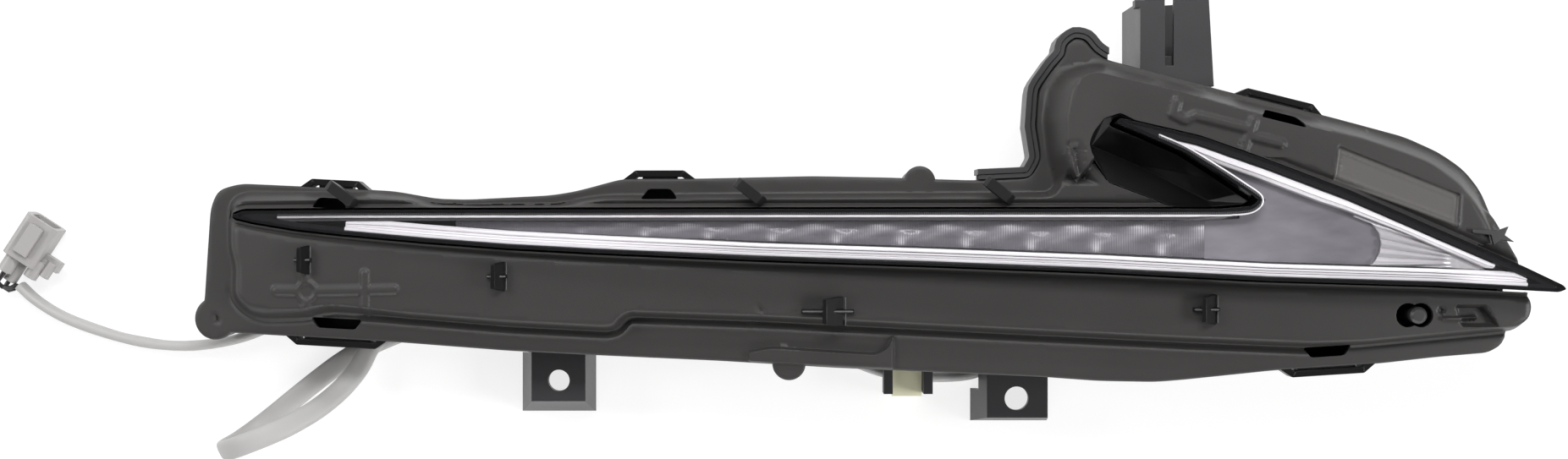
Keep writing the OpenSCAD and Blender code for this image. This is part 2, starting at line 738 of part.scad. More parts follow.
module pillow_optic() color([0.7, 0.7, 0.74]) placed() {
    lens_layer(optic_level - optic_t, optic_level)
        intersection() {
            middle_shape();
            translate([0, -60]) square([bezel_x - seat_gap, 65]);
        }
    for (i = [0:lamps])
        crown(lamp_x(i), crown_y(i));
}

module inner_bezel() color([0.35, 0.35, 0.38]) placed()
    lens_layer(optic_level - optic_t, optic_level)
        intersection() {
            difference() {
                middle_shape();
                translate([0, -60]) square([bezel_x, 65 + seat_gap]);
            }
            left_of_fan(0);
        }

// Fan of bright ribs that spread from near the tip
fan = [back(26), -24];
rib_w = 0.9;
module corner_reflector() color([0.9, 0.9, 0.92]) placed() {
    intersection() {
        union() {
            lens_layer(optic_level - optic_t, optic_level - 0.6)
                translate([bezel_x, -60]) square([200, 120]);
            for (a = [150:rib_pitch * 2:200])
                translate([fan[0], fan[1], 0])
                    rotate(a)
                        translate([4, -rib_w / 2, 30])
                            cube([70, rib_w, lens_z(fan_x, optic_level) - 29.4]);
        }
        lens_layer(optic_level - optic_t, optic_level + 1)
            difference() {
                middle_shape();
                left_of_fan(seat_gap);
            }
    }
}

// Tray that holds the optics over the boards, with a window over each lamp
corner_lamps = [[back(105), 2], [back(92), -4], [back(78), -10], [back(64), -14], [back(50), -18]];
module light_chamber() color([0.85, 0.85, 0.86]) placed() {
    difference() {
        lens_layer(chamber_floor - 1.4, chamber_level)
            difference() {
                inside_shape();
                translate([0, -40]) square([stack_x, 80]);
            }
        lens_layer(chamber_floor, lens_level)
            offset(delta = -1) middle_shape();
        for (i = [0:lamps])
            translate([lamp_x(i), lamp_y(lamp_x(i)), 0]) cylinder(d = chip_w + 2, h = lens_level, $fn = 20);
        for (p = corner_lamps)
            translate([p[0], p[1], 0]) cylinder(d = chip_w + 2, h = lens_level, $fn = 20);
        for (x = screw_xs)
            translate([x, lamp_y(x), 0]) cylinder(d = 0.7 * screw_head_d + 0.6, h = lens_level, $fn = 24);
    }
}

screw_xs = [for (k = [1.5, 8.5, 15.5]) first_x + k * pillow_pitch];
module board_shape() {
    difference() {
        offset(delta = -0.4) inside_shape();
        translate([0, -40]) square([stack_x, 80]);
    }
}
board_split = back(122);
module led_board() color([0.9, 0.9, 0.86]) placed()
    difference() {
        lens_layer(board_level - board_t, board_level)
            intersection() {
                board_shape();
                translate([0, -60]) square([board_split - 0.3, 120]);
            }
        for (x = screw_xs)
            translate([x, lamp_y(x), 0]) cylinder(d = 0.6 * screw_d + 0.4, h = lens_level, $fn = 24);
    }
module corner_led_board() color([0.9, 0.9, 0.86]) placed()
    lens_layer(board_level - board_t, board_level)
        intersection() {
            board_shape();
            translate([board_split + 0.3, -60]) square([200, 120]);
        }

module chip(p) {
    translate([p[0], p[1], lens_z(p[0], board_level) + 0.05])
        rotate([0, slope(p[0]), 0])
            translate([-chip_w / 2, -chip_w / 2, 0])
                cube([chip_w, chip_w, 0.9]);
}
module led_chips() color([0.95, 0.9, 0.5]) placed()
    for (i = [0:lamps])
        chip([lamp_x(i), lamp_y(lamp_x(i))]);
module corner_led_chips() color([0.95, 0.9, 0.5]) placed()
    for (p = corner_lamps)
        chip(p);

// Aluminium strip under the boards, on fins that stand on the floor of the tub
module heat_sink() color([0.75, 0.76, 0.78]) placed() {
    lens_layer(sink_level - sink_t, sink_level) board_shape();
    difference() {
        intersection() {
            translate([0, 0, floor_z + seat_gap])
                linear_extrude(tall)
                    intersection() {
                        offset(delta = -0.8) board_shape();
                        for (x = [stack_x + 4:fin_pitch:back(60)])
                            translate([x, -40]) square([1.2, 80]);
                    }
            under_lens_bow(sink_level - sink_t + 0.5);
        }
    }
}

// Small screw with its head up: x, y and the height of the underside of its head
module screw(x, y, z, length) {
    translate([x, y, z])
        cylinder(d = screw_head_d * 0.7, h = 1.4, $fn = 24);
    translate([x, y, z - length])
        cylinder(d = screw_d * 0.6, h = length + 0.1, $fn = 24);
}
module board_screws() color([0.8, 0.8, 0.8]) placed()
    for (x = screw_xs)
        screw(x, lamp_y(x), lens_z(x, board_level) + 0.25, board_t);

module locating_pin() color([0.1, 0.1, 0.1]) placed()
    translate([pin[0] + 2, pin[1], pin_low])
        rotate_extrude($fn = 48)
            polygon([[0, 0], [pin_d / 2, 0], [pin_d / 2, face_level - 1 - pin_low],
                [pin_d / 2 - 1, face_level - pin_low], [0, face_level - pin_low]]);

module wing_clip() color([0.05, 0.05, 0.05]) placed()
    cover_layer(wing_level + seat_gap, wing_level + 1.8)
        polygon([[back(34), -8.8], [back(27), -9.6], [back(26), -13.2], [back(23.6), -11.4],
            [back(18.2), -12.2], [back(21.8), -9.6], [back(20.4), -6.4], [back(24.4), -7.8],
            [back(34), -7.4]]);

module driver_board() color([0.1, 0.4, 0.2]) placed() {
    translate([driver[0] - driver_l / 2 + wall + 0.4, driver[1] - driver_w / 2 + wall + 0.4, back_z - 2.2])
        cube([driver_l - 2 * wall - 0.8, driver_w - 2 * wall - 0.8, board_t]);
    translate([driver[0] - 4, driver[1] - 6, back_z - 6.2])
        cube([14, 12, 4.1]);
}

module driver_lid() color([0.1, 0.1, 0.1]) placed()
    difference() {
        translate([driver[0], driver[1], lid_z])
            linear_extrude(lid_t)
                offset(r = 3, $fn = 24) square([driver_l - 6, driver_w - 6], center = true);
        for (sx = [-1, 1], sy = [-1, 1])
            translate([driver[0] + sx * (driver_l / 2 - 4), driver[1] + sy * (driver_w / 2 - 4), -1])
                cylinder(d = screw_d + 0.4, h = 10, $fn = 24);
    }

module lid_gasket() color([0.05, 0.05, 0.05]) placed()
    translate([driver[0], driver[1], lid_z + lid_t + 0.1])
        linear_extrude(gasket_t)
            difference() {
                square([driver_l - 0.4, driver_w - 0.4], center = true);
                square([driver_l - 2 * wall + 0.4, driver_w - 2 * wall + 0.4], center = true);
            }

module lid_screws() color([0.7, 0.7, 0.72]) placed()
    for (sx = [-1, 1], sy = [-1, 1])
        translate([driver[0] + sx * (driver_l / 2 - 4), driver[1] + sy * (driver_w / 2 - 4), 0]) {
            translate([0, 0, lid_z - 1.1])
                cylinder(d = screw_head_d * 0.9, h = 1, $fn = 24);
            translate([0, 0, lid_z - 0.2])
                cylinder(d = screw_d, h = back_z - 3 - lid_z, $fn = 24);
        }

module breather_cap() color([0.1, 0.1, 0.1]) placed()
    translate([breather[0], breather[1], back_z])
        mirror([0, 0, 1]) {
            translate([0, 0, 0.1])
                cylinder(d = breather_d, h = 2.4, $fn = 48);
            translate([0, 0, 2.4])
                cylinder(d1 = breather_d, d2 = breather_d - 3, h = 1.2, $fn = 48);
            translate([0, 0, -2])
                cylinder(d = 5.4, h = 3, $fn = 32);
        }

module harness_grommet() color([0.03, 0.03, 0.03]) placed()
    translate([driver[0] - driver_l / 2 + wall, exit_y, exit_z])
        rotate([0, -90, 0])
            linear_extrude(grommet_l)
                offset(r = 1, $fn = 16) square([sleeve_t + 0.2, sleeve_w + 0.8], center = true);

// Cream clip: a block with a channel that the sleeve lies in on its edge
module harness_clip() color([0.85, 0.82, 0.65]) placed()
    translate([clip[0] - clip_l / 2, clip[1] - 6.5, 0.6])
        difference() {
            cube([clip_l, 12.6, 12.5]);
            translate([-1, 5, -1])
                cube([clip_l + 2, sleeve_t + 1.6, sleeve_w + 1]);
        }

// Connector: its wires enter boots at the back, one over the other, and its mouth looks along its own X
connector = [-87.3 * stretch, -26.35, 7.4];
connector_turn = 57;

// Route of the sleeve: x, y, z, azimuth of its broad side, roll towards standing on edge
route = concat([
    [driver[0] - 35, -50, 8.5, 270, 0], [driver[0] - 39, -50.1, 8.4, 268, 0],
    [driver[0] - 45, -52.2, 7.5, 262, 20]], lengthwise([
    [tip(198), -57.2, 6.4, 248, 45],
    [tip(207), -62.6, 5.2, 246, 70], [tip(216), -66.2, 4.5, 256, 90], [tip(225), -67.3, 4.4, 268, 90],
    [285, -67.4, 4.4, 271, 90], [276.5, -67, 4.4, 275, 90], [267, -65.4, 4.4, 284, 90],
    [257, -61.8, 4.4, 293, 90], [246, -57, 4.4, 294, 90], [234, -52.4, 4.4, 290, 90],
    [219, -48.4, 4.2, 284, 75], [200, -45, 3.6, 280, 50], [180, -42.4, 2.8, 277, 25],
    [158, -40.4, 2.3, 275, 0], [135, -39, 2.2, 273, 0], [115, -38.4, 3.4, 272, 0],
    [100, -38, 6.4, 272, 0], [88, -38.6, 7.2, 274, 0], [77, -41.4, 7.2, 291, 0],
    [67, -46.8, 7.2, 307, 0], [60, -54.4, 7.4, 323, 0], [55.5, -63.4, 9.4, 333, 0],
    [49.5, -71.5, 14.4, 318, 0], [42, -78.5, 21.4, 308, 0], [33.5, -84, 29, 300, 0],
    [26, -87.6, 34, 296, 0], [18, -90.8, 35.6, 294, 0], [10.5, -93.6, 32.4, 293, 0],
    [5.6, -95.2, 26, 297, 0], [4.6, -95, 18, 300, 0], [7.2, -93, 9.4, 303, 0],
    [13, -88.4, 3.8, 307, 0], [20.5, -82.4, 2.2, 309, 0], [34, -71.4, 2.2, 310, 0],
    [47, -61.6, 2.2, 304, 0], [60, -54, 2.2, 300, 0], [74, -48, 2.2, 298, 0],
    [87, -42, 2.2, 304, 0], [97, -34.5, 2.2, 326, 0], [102, -24.5, 2.2, 350, 0],
    [101, -14, 2.2, 385, 0], [93.5, -6.8, 2.2, 420, 0], [83, -4.6, 2.3, 455, 5],
    [72, -7.5, 2.6, 480, 20], [62, -13.6, 3, 486, 40], [52, -21.6, 3.6, 490, 60],
    [42, -30.2, 4.2, 491, 80], [31.5, -38.8, 4.4, 488, 90], [20, -46, 4.4, 480, 90],
    [7, -51.4, 4.4, 469, 90], [-7, -54.2, 4.4, 458, 90], [-22, -54.6, 4.4, 448, 90],
    [-38, -52.2, 4.4, 440, 90], [-53, -47.8, 4.4, 434, 90], [-66, -42.6, 4.4, 427, 90],
    [-76, -36.4, 4.5, 417, 90]]),
    [[connector[0] + 4.6, -30.3, 4.6, 408, 90]]);
sleeve_sides = 12;

function heading(i, list) = unit(xyz(list[min(i + 1, len(list) - 1)]) - xyz(list[max(i - 1, 0)]));
function xyz(row) = [row[0], row[1], row[2]];
function broad(i, list) = let (t = heading(i, list), w = [cos(list[i][3]), sin(list[i][3]), 0])
    unit(w - (w * t) * t);
// Ring of an oval section round point i, turned about the heading by the roll
function ring(i, list, w, t) = let (b = broad(i, list), u = cross(heading(i, list), b), a = list[i][4],
        side = cos(a) * b + sin(a) * u, rise = cos(a) * u - sin(a) * b)
    [for (k = [0:sleeve_sides - 1]) let (f = 360 * k / sleeve_sides)
        xyz(list[i]) + w / 2 * oval(cos(f)) * side + t / 2 * oval(sin(f)) * rise];
function oval(v) = sign(v) * pow(abs(v), 0.8);

module sweep(list, w, t) {
    n = len(list);
    m = sleeve_sides;
    polyhedron(points = [for (i = [0:n - 1]) each ring(i, list, w, t)],
        faces = concat([[for (k = [0:m - 1]) k]], [[for (k = [0:m - 1]) n * m - 1 - k]],
            [for (i = [0:n - 2], k = [0:m - 1]) [i * m + k, (i + 1) * m + k, (i + 1) * m + (k + 1) % m]],
            [for (i = [0:n - 2], k = [0:m - 1]) [i * m + k, (i + 1) * m + (k + 1) % m, i * m + (k + 1) % m]]));
}

module sleeve() color([0.8, 0.8, 0.8]) placed() sweep(route, sleeve_w, sleeve_t);

wire_d = 1.8;
boots = [[1.89, 1.226, 2.1], [-1.2, -1.226, -2.1]];
boot_d = 6;
wall_x = 15;
mouth_x = 16;
front_x = 27.5;
// Routes of the wires, their X measured from the connector
wire_routes = [
    [[3.7, -29.9, 6, 48, 0], [1.5, -31.2, 7.4, 80, 0], [-1.1, -30.6, 9.2, 60, 0], [-2.7, -28.8, 9.8, 0, 0],
        [-2.1, -27.3, 9.5, -33, 0], [-1.03, -25.68, 9.5, -33, 0], [3.33, -18.97, 9.5, -33, 0]],
    [[3.5, -30.1, 3.4, 48, 0], [1.7, -31.6, 3.6, 80, 0], [-0.1, -32.2, 4.6, 60, 0],
        [-1.6, -31.1, 5.3, -20, 0], [-0.8, -29.8, 5.3, -33, 0], [0, -28.6, 5.3, -33, 0],
        [4.3, -21.99, 5.3, -33, 0]]];
module at_connector() translate(connector) rotate(connector_turn) children();
module along(from, to, side, up)
    translate([from, side, up]) rotate([0, 90, 0]) linear_extrude(to - from) children();
module boot_bore(b, d) along(b[0] - 2, wall_x, b[1], b[2]) circle(d = d, $fn = 32);

module wires() color([0.05, 0.05, 0.05]) placed()
    for (r = wire_routes)
        sweep([for (p = r) [p[0] + connector[0], p[1], p[2], p[3], p[4]]], wire_d, wire_d);

module connector_shell() color([0.55, 0.55, 0.55]) placed() at_connector() {
    difference() {
        union() {
            for (b = boots)
                along(b[0], 12, b[1], b[2]) circle(d = boot_d, $fn = 32);
            along(9, front_x, -1.75, 0)
                offset(r = 2.5, $fn = 24) square([8.2, 9.5], center = true);
            along(5, 13, -8.5, 1.4) circle(r = 2.8, $fn = 32);
            along(8, 15, -13, 0.8) circle(r = 2.1, $fn = 32);
            along(8.5, 14.5, -9.5, 0.6) square([3, 9], center = true);
            translate([12, -16.6, -2]) cube([4.6, 10, 3.6]);
        }
        for (b = boots)
            boot_bore(b, seal_d + 0.2);
        for (b = boots)
            translate([wall_x - 1, b[1] - 1.1, b[2] - 0.6]) cube([3, 2.2, 1.2]);
        along(mouth_x, front_x + 1, -1.75, 0)
            offset(r = 1.5, $fn = 24) square([6.2, 7.5], center = true);
    }
}
module connector_lock() color([0.5, 0.5, 0.5]) placed() at_connector()
    translate([12, -4.75, 6.8]) cube([13, 6, 1.6]);
module wire_seals() color([0.2, 0.2, 0.2]) placed() at_connector()
    for (b = boots)
        along(b[0] + 1, b[0] + 5, b[1], b[2])
            difference() {
                circle(d = seal_d, $fn = 32);
                circle(d = wire_d + 0.3, $fn = 24);
            }
module terminals() color([0.8, 0.75, 0.5]) placed() at_connector()
    for (b = boots)
        translate([9, b[1] - 0.9, b[2] - 0.4]) cube([10.6, 1.8, 0.8]);

rear_housing();
front_cover();
lens_frame();
outer_lens();
lens_seal();
cover_seal();
pocket_trim();
upper_light_strip();
lower_light_strip();
leg_light_strip();
pillow_optic();
inner_bezel();
corner_reflector();
light_chamber();
led_board();
corner_led_board();
led_chips();
corner_led_chips();
heat_sink();
board_screws();
locating_pin();
wing_clip();
driver_board();
driver_lid();
lid_gasket();
lid_screws();
breather_cap();
harness_grommet();
harness_clip();
sleeve();
wires();
connector_shell();
connector_lock();
wire_seals();
terminals();
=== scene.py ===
import logging
import math
from dataclasses import dataclass
from enum import Enum
from typing import Any, Sequence

import bpy
import numpy as np
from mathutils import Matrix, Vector
from mathutils.geometry import delaunay_2d_cdt


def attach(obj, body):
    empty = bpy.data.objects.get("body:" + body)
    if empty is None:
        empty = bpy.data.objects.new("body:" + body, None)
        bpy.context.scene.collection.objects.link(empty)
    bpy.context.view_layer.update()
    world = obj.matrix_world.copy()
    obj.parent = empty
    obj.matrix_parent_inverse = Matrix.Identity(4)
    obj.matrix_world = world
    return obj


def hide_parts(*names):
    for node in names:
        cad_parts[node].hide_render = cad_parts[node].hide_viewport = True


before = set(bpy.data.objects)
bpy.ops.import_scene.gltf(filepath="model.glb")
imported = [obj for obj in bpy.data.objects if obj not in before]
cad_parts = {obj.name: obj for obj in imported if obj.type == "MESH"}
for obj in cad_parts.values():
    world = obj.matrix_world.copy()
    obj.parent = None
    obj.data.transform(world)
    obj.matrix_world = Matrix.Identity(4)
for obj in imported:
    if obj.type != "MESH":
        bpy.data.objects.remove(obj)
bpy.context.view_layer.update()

log = logging.getLogger("running_light")

MM = 0.001
# Origin of the frame in lamp coordinates, which start at the left edge of the rim and the
# upper edge of the lens, in millimetres
ORIGIN = np.array([256.8, -0.7, 0.0])
RIM_LEVEL = 56.0
FACE_LEVEL = 64.0
WING_LEVEL = 72.0
OPTIC_LEVEL = 68.0
STRIP_LEVEL = 73.2
LEDGE_LEVEL = 74.2
GUIDE_FLOOR = OPTIC_LEVEL - 2.0
# Length of the leg's edge for each millimetre along the lamp
LEG_SLANT = 1.09

# Outline of the lens, and its three long edges
LENS = (
    (12, -2), (17, -0.3), (60, 0), (389, 0.2), (401, 1.2), (403.8, 3.4), (401.5, 5),
    (389, 13.4), (376, 21.3), (360.5, 28.2), (350.5, 32.4), (352, 34), (382.4, 26.9),
    (407.5, 18.1), (439, 6.2), (471, -7.7), (503, -21.4), (517.7, -28.3), (519, -29.8),
    (516, -30.9), (471, -28.5), (407.5, -26.6), (345, -23.4), (282, -21), (219, -19),
    (155, -16.3), (122, -14.6), (89, -12.2), (55, -9.2), (38, -7.4), (21, -4.7), (13.5, -3),
)
LENS_UPPER = LENS[1:4]
LENS_LEG = LENS[11:18]
LENS_LOWER = LENS[:18:-1]

Colour = tuple[float, float, float]
Table = Sequence[Sequence[float]]
Stops = tuple[tuple[float, float], ...]


def to_frame(points: np.ndarray) -> np.ndarray:
    """Lamp coordinates in millimetres as metres in the shared frame."""
    return (np.asarray(points, float) - ORIGIN) * MM


def follow(table: Table, x: np.ndarray) -> np.ndarray:
    """Second column of a table, read off at places in its first column."""
    return np.interp(x, *np.transpose(table))


@dataclass(frozen=True)
class Bow:
    """Long bow of a moulding, a circle of a radius whose crown stands at one place."""

    crown: float
    radius: float

    def height(self, x: np.ndarray, level: float) -> np.ndarray:
        """Level less the sagitta of the circle at x.

        Args:
            x: Places along the lamp.
            level: Height at the crown.

        Returns:
            Height of the bow at each place.
        """
        return level - (self.radius - np.sqrt(self.radius**2 - (x - self.crown) ** 2))


COVER_BOW = Bow(363.0, 2500.0)
LENS_BOW = Bow(407.0, 2110.0)


# Surfaces


def grid_faces(rows: int, columns: int, around: bool = False) -> np.ndarray:
    """Quads between neighbouring points of a grid that is stored row by row.

    Args:
        rows: Number of rows.
        columns: Number of points in a row.
        around: True if the last column joins the first one.

    Returns:
        Point numbers, four to a face.
    """
    i = np.arange(rows - 1)[:, None] * columns
    j = np.arange(columns if around else columns - 1)[None, :]
    k = (j + 1) % columns
    return np.stack(
        np.broadcast_arrays(i + j, i + columns + j, i + columns + k, i + k), -1
    ).reshape(-1, 4)


def signed_volume(points: np.ndarray, faces: np.ndarray) -> float:
    """Six times the volume under a set of faces, each taken as a fan of triangles."""
    p = points - points.mean(0)
    total = 0.0
    for k in range(1, faces.shape[1] - 1):
        a, b, c = p[faces[:, 0]], p[faces[:, k]], p[faces[:, k + 1]]
        total += float(np.einsum("ij,ij->", a, np.cross(b, c)))
    return total


def make_piece(
    name: str, points: np.ndarray, *face_sets: np.ndarray, crease: float | None = 50.0
) -> bpy.types.Object:
    """Puts whole arrays of points and faces into a mesh object at the origin.

    Args:
        name: Name of the piece.
        points: Points in lamp coordinates, in millimetres.
        face_sets: Arrays of faces, each with its own number of corners.
        crease: Angle in degrees past which an edge stays sharp, or None for flat faces.

    Returns:
        The object, with the faces of a closed shell turned outwards.
    """
    sets = [np.asarray(f) for f in face_sets if len(f)]
    if sum(signed_volume(points, f) for f in sets) < 0:
        sets = [f[:, ::-1] for f in sets]
    corners = np.concatenate([f.ravel() for f in sets]).astype(np.int32)
    sizes = np.concatenate([np.full(len(f), f.shape[1]) for f in sets])
    starts = np.concatenate([[0], np.cumsum(sizes)[:-1]]).astype(np.int32)
    mesh = bpy.data.meshes.new(name)
    mesh.vertices.add(len(points))
    mesh.vertices.foreach_set("co", to_frame(points).astype(np.float32).ravel())
    mesh.loops.add(len(corners))
    mesh.loops.foreach_set("vertex_index", corners)
    mesh.polygons.add(len(sizes))
    mesh.polygons.foreach_set("loop_start", starts)
    mesh.polygons.foreach_set("use_smooth", np.full(len(sizes), crease is not None))
    mesh.update(calc_edges=True)
    mesh.validate()
    if crease is not None:
        mesh.set_sharp_from_angle(angle=math.radians(crease))
    piece = bpy.data.objects.new(name, mesh)
    bpy.context.scene.collection.objects.link(piece)
    return piece


def mark(piece: bpy.types.Object, name: str, values: np.ndarray) -> None:
    """Gives the first points of a piece a value each for its finish, and the rest nothing."""
    full = np.zeros(len(piece.data.vertices), np.float32)
    full[: values.size] = values.ravel()
    piece.data.attributes.new(name, "FLOAT", "POINT").data.foreach_set("value", full)


def tube(name: str, rings: np.ndarray) -> bpy.types.Object:
    """Closed shell over a row of rings, with a flat fan at each end.

    Args:
        name: Name of the piece.
        rings: Points of the rings, ring by ring.

    Returns:
        The piece.
    """
    n, m, _ = rings.shape
    points = np.concatenate([rings.reshape(-1, 3), rings[:1].mean(1), rings[-1:].mean(1)])
    j = np.arange(m)
    k = (j + 1) % m
    first = np.stack([np.full(m, n * m), j, k], 1)
    last = np.stack([np.full(m, n * m + 1), (n - 1) * m + k, (n - 1) * m + j], 1)
    return make_piece(
        name, points, grid_faces(n, m, around=True), np.concatenate([first, last])
    )


def slab(name: str, top: np.ndarray, floor: np.ndarray) -> bpy.types.Object:
    """Closed block between two grids of equal size, with a side along each border.

    Args:
        name: Name of the piece.
        top: Points of the upper grid, row by row.
        floor: Points of the lower grid.

    Returns:
        The piece.
    """
    n, m, _ = top.shape
    number = np.arange(n * m).reshape(n, m)
    border = np.concatenate(
        [number[:-1, 0], number[-1, :-1], number[:0:-1, -1], number[0, :0:-1]]
    )
    after = np.roll(border, -1)
    sides = np.stack([after, border, border + n * m, after + n * m], 1)
    face = grid_faces(n, m)
    points = np.concatenate([top.reshape(-1, 3), floor.reshape(-1, 3)])
    return make_piece(name, points, np.concatenate([face, face[:, ::-1] + n * m, sides]))


def spline(rows: Table, steps: int) -> np.ndarray:
    """Smooth curve through rows: the cubic of each stretch leaves its ends along half the
    way between their neighbours.

    Args:
        rows: Values at each point, of any number of columns.
        steps: Steps in each stretch.

    Returns:
        Values along the curve.
    """
    p = np.asarray(rows, float)
    p = np.vstack([2 * p[0] - p[1], p, 2 * p[-1] - p[-2]])
    a, b, c, d = (q[:, None] for q in (p[:-3], p[1:-2], p[2:-1], p[3:]))
    t = (np.arange(steps) / steps)[None, :, None]
    curve = 0.5 * (
        2 * b + (c - a) * t + (2 * a - 5 * b + 4 * c - d) * t**2 + (3 * b - a - 3 * c + d) * t**3
    )
    return np.vstack([curve.reshape(-1, p.shape[1]), p[-2]])


def unit(vectors: np.ndarray) -> np.ndarray:
    """Vectors at length one."""
    return vectors / np.maximum(np.linalg.norm(vectors, axis=-1, keepdims=True), 1e-9)


def turning(degrees: float) -> np.ndarray:
    """Matrix that turns places, as rows, counterclockwise."""
    a = math.radians(degrees)
    return np.array([[math.cos(a), math.sin(a)], [-math.sin(a), math.cos(a)]])


def smooth_step(t: np.ndarray) -> np.ndarray:
    """Rises from nothing to one as three squares less two cubes."""
    t = np.clip(t, 0.0, 1.0)
    return t * t * (3 - 2 * t)


def soft_max(a: np.ndarray, b: np.ndarray, reach: float) -> np.ndarray:
    """The larger of two heights, with a round fillet where they are within a reach."""
    share = np.clip(0.5 + 0.5 * (a - b) / reach, 0.0, 1.0)
    return b + (a - b) * share + reach * share * (1 - share)


def ease(outline: Table, reach: float, steps: int = 5) -> np.ndarray:
    """Turns each corner of a closed outline into a parabola that starts a reach before it.

    Args:
        outline: Corners in order.
        reach: Distance of the start from the corner, at most 0.42 of the side.
        steps: Points on each parabola.

    Returns:
        Points of the eased outline.
    """
    p = np.asarray(outline, float)
    before, after = np.roll(p, 1, 0) - p, np.roll(p, -1, 0) - p
    short = np.minimum(np.linalg.norm(before, axis=1), np.linalg.norm(after, axis=1)) * 0.42
    d = np.minimum(reach, short)[:, None]
    t = np.linspace(0.0, 1.0, steps)[None, :, None]
    start, end = (p + d * unit(before))[:, None], (p + d * unit(after))[:, None]
    curve = start * (1 - t) ** 2 + 2 * p[:, None] * t * (1 - t) + end * t**2
    return curve.reshape(-1, 2)


def even(outline: np.ndarray, step: float) -> np.ndarray:
    """Points at even steps round a closed outline, by its length along the way."""
    closed = np.vstack([outline, outline[:1]])
    way = np.concatenate([[0.0], np.cumsum(np.linalg.norm(np.diff(closed, axis=0), axis=1))])
    at = np.linspace(0.0, way[-1], max(8, int(way[-1] / step)), endpoint=False)
    return np.stack([np.interp(at, way, closed[:, k]) for k in (0, 1)], 1)


def turned_area(outline: np.ndarray) -> float:
    """Area inside an outline, above nothing if it runs counterclockwise."""
    a, b = outline, np.roll(outline, -1, 0)
    return float(np.sum(a[:, 0] * b[:, 1] - a[:, 1] * b[:, 0])) / 2


def shifted(outline: np.ndarray, inwards: float) -> np.ndarray:
    """Outline whose points move inwards along its normals by a distance."""
    run = np.roll(outline, -1, 0) - np.roll(outline, 1, 0)
    normal = unit(np.stack([-run[:, 1], run[:, 0]], 1)) * np.sign(turned_area(outline))
    return outline + normal * inwards


def inside_of(points: np.ndarray, outline: np.ndarray) -> np.ndarray:
    """True where a ray to the right of a point crosses the outline an odd number of times."""
    a, b = outline, np.roll(outline, -1, 0)
    x, y = points[:, :1], points[:, 1:]
    over = (a[None, :, 1] > y) != (b[None, :, 1] > y)
    rise = np.where(b[:, 1] == a[:, 1], 1e-9, b[:, 1] - a[:, 1])
    cross = a[None, :, 0] + (y - a[None, :, 1]) * ((b - a)[:, 0] / rise)[None]
    return (np.count_nonzero(over & (x < cross), axis=1) % 2).astype(bool)


def distance_to(points: np.ndarray, line: np.ndarray, closed: bool = True) -> np.ndarray:
    """Distance from each point to the nearest stretch of a line.

    Args:
        points: Places to measure from.
        line: Corners of the line.
        closed: True if its end joins its start.

    Returns:
        Distances.
    """
    a = line if closed else line[:-1]
    b = np.roll(line, -1, 0) if closed else line[1:]
    run = b - a
    found = np.empty(len(points))
    for start in range(0, len(points), 6000):
        p = points[start : start + 6000, None]
        t = np.clip(((p - a) * run).sum(-1) / np.maximum((run**2).sum(-1), 1e-9), 0.0, 1.0)
        found[start : start + 6000] = np.linalg.norm(p - a - t[..., None] * run, axis=-1).min(1)
    return found


def depth_in(points: np.ndarray, outline: np.ndarray) -> np.ndarray:
    """Distance to an outline, above nothing inside it and below nothing outside."""
    inside = np.concatenate(
        [inside_of(points[k : k + 6000], outline) for k in range(0, len(points), 6000)]
    )
    return distance_to(points, outline) * np.where(inside, 1.0, -1.0)


def shell(
    name: str, plan: np.ndarray, corners: np.ndarray, top: np.ndarray, wall: float
) -> bpy.types.Object:
    """Closed moulding over a plan of triangles: an upper face, the same face a wall lower, and
    a side along every edge that has one triangle.

    Args:
        name: Name of the piece.
        plan: Places of the points, seen from above.
        corners: Triangles of the plan.
        top: Height of each point.
        wall: Thickness, measured straight down.

    Returns:
        The piece.
    """
    n = len(plan)
    points = np.vstack([np.c_[plan, top], np.c_[plan, top - wall]])
    edges = np.concatenate([corners[:, [0, 1]], corners[:, [1, 2]], corners[:, [2, 0]]])
    keys = np.sort(edges, 1) @ np.array([n, 1])
    _, where, count = np.unique(keys, return_index=True, return_counts=True)
    rim = edges[where[count == 1]]
    sides = np.stack([rim[:, 1], rim[:, 0], rim[:, 0] + n, rim[:, 1] + n], 1)
    return make_piece(name, points, np.concatenate([corners, corners[:, ::-1] + n]), sides)


# Shader maths


class Amount:
    """A number that varies over a surface, and that Python arithmetic works on."""

    def __init__(self, net: "Net", socket: bpy.types.NodeSocket) -> None:
        """Wraps the output socket of a node in a net."""
        self.net = net
        self.socket = socket

    def _maths(self, operation: str, *values: Any) -> "Amount":
        """One Math node over the values given."""
        node = self.net.node("Math", {"operation": operation}, dict(enumerate(values)))
        return Amount(self.net, node.outputs[0])

    def __add__(self, other: Any) -> "Amount":
        """This amount and another together."""
        return self._maths("ADD", self, other)

    __radd__ = __add__

    def __mul__(self, other: Any) -> "Amount":
        """This amount times another."""
        return self._maths("MULTIPLY", self, other)

    __rmul__ = __mul__

    def __sub__(self, other: Any) -> "Amount":
        """This amount less another."""
        return self._maths("SUBTRACT", self, other)

    def __rsub__(self, other: Any) -> "Amount":
        """Another amount less this one."""
        return self._maths("SUBTRACT", other, self)

    def __gt__(self, limit: Any) -> "Amount":
        """One where this amount is over a limit, and nothing elsewhere."""
        return self._maths("GREATER_THAN", self, limit)

    def wave(self, pitch: float) -> "Amount":
        """Sine of this amount, with a full turn in each pitch."""
        return self._maths("SINE", self * (2 * math.pi / pitch))

    def clamp(self) -> "Amount":
        """This amount held between nothing and one."""
        node = self.net.node("Clamp", {}, {"Value": self})
        return Amount(self.net, node.outputs[0])


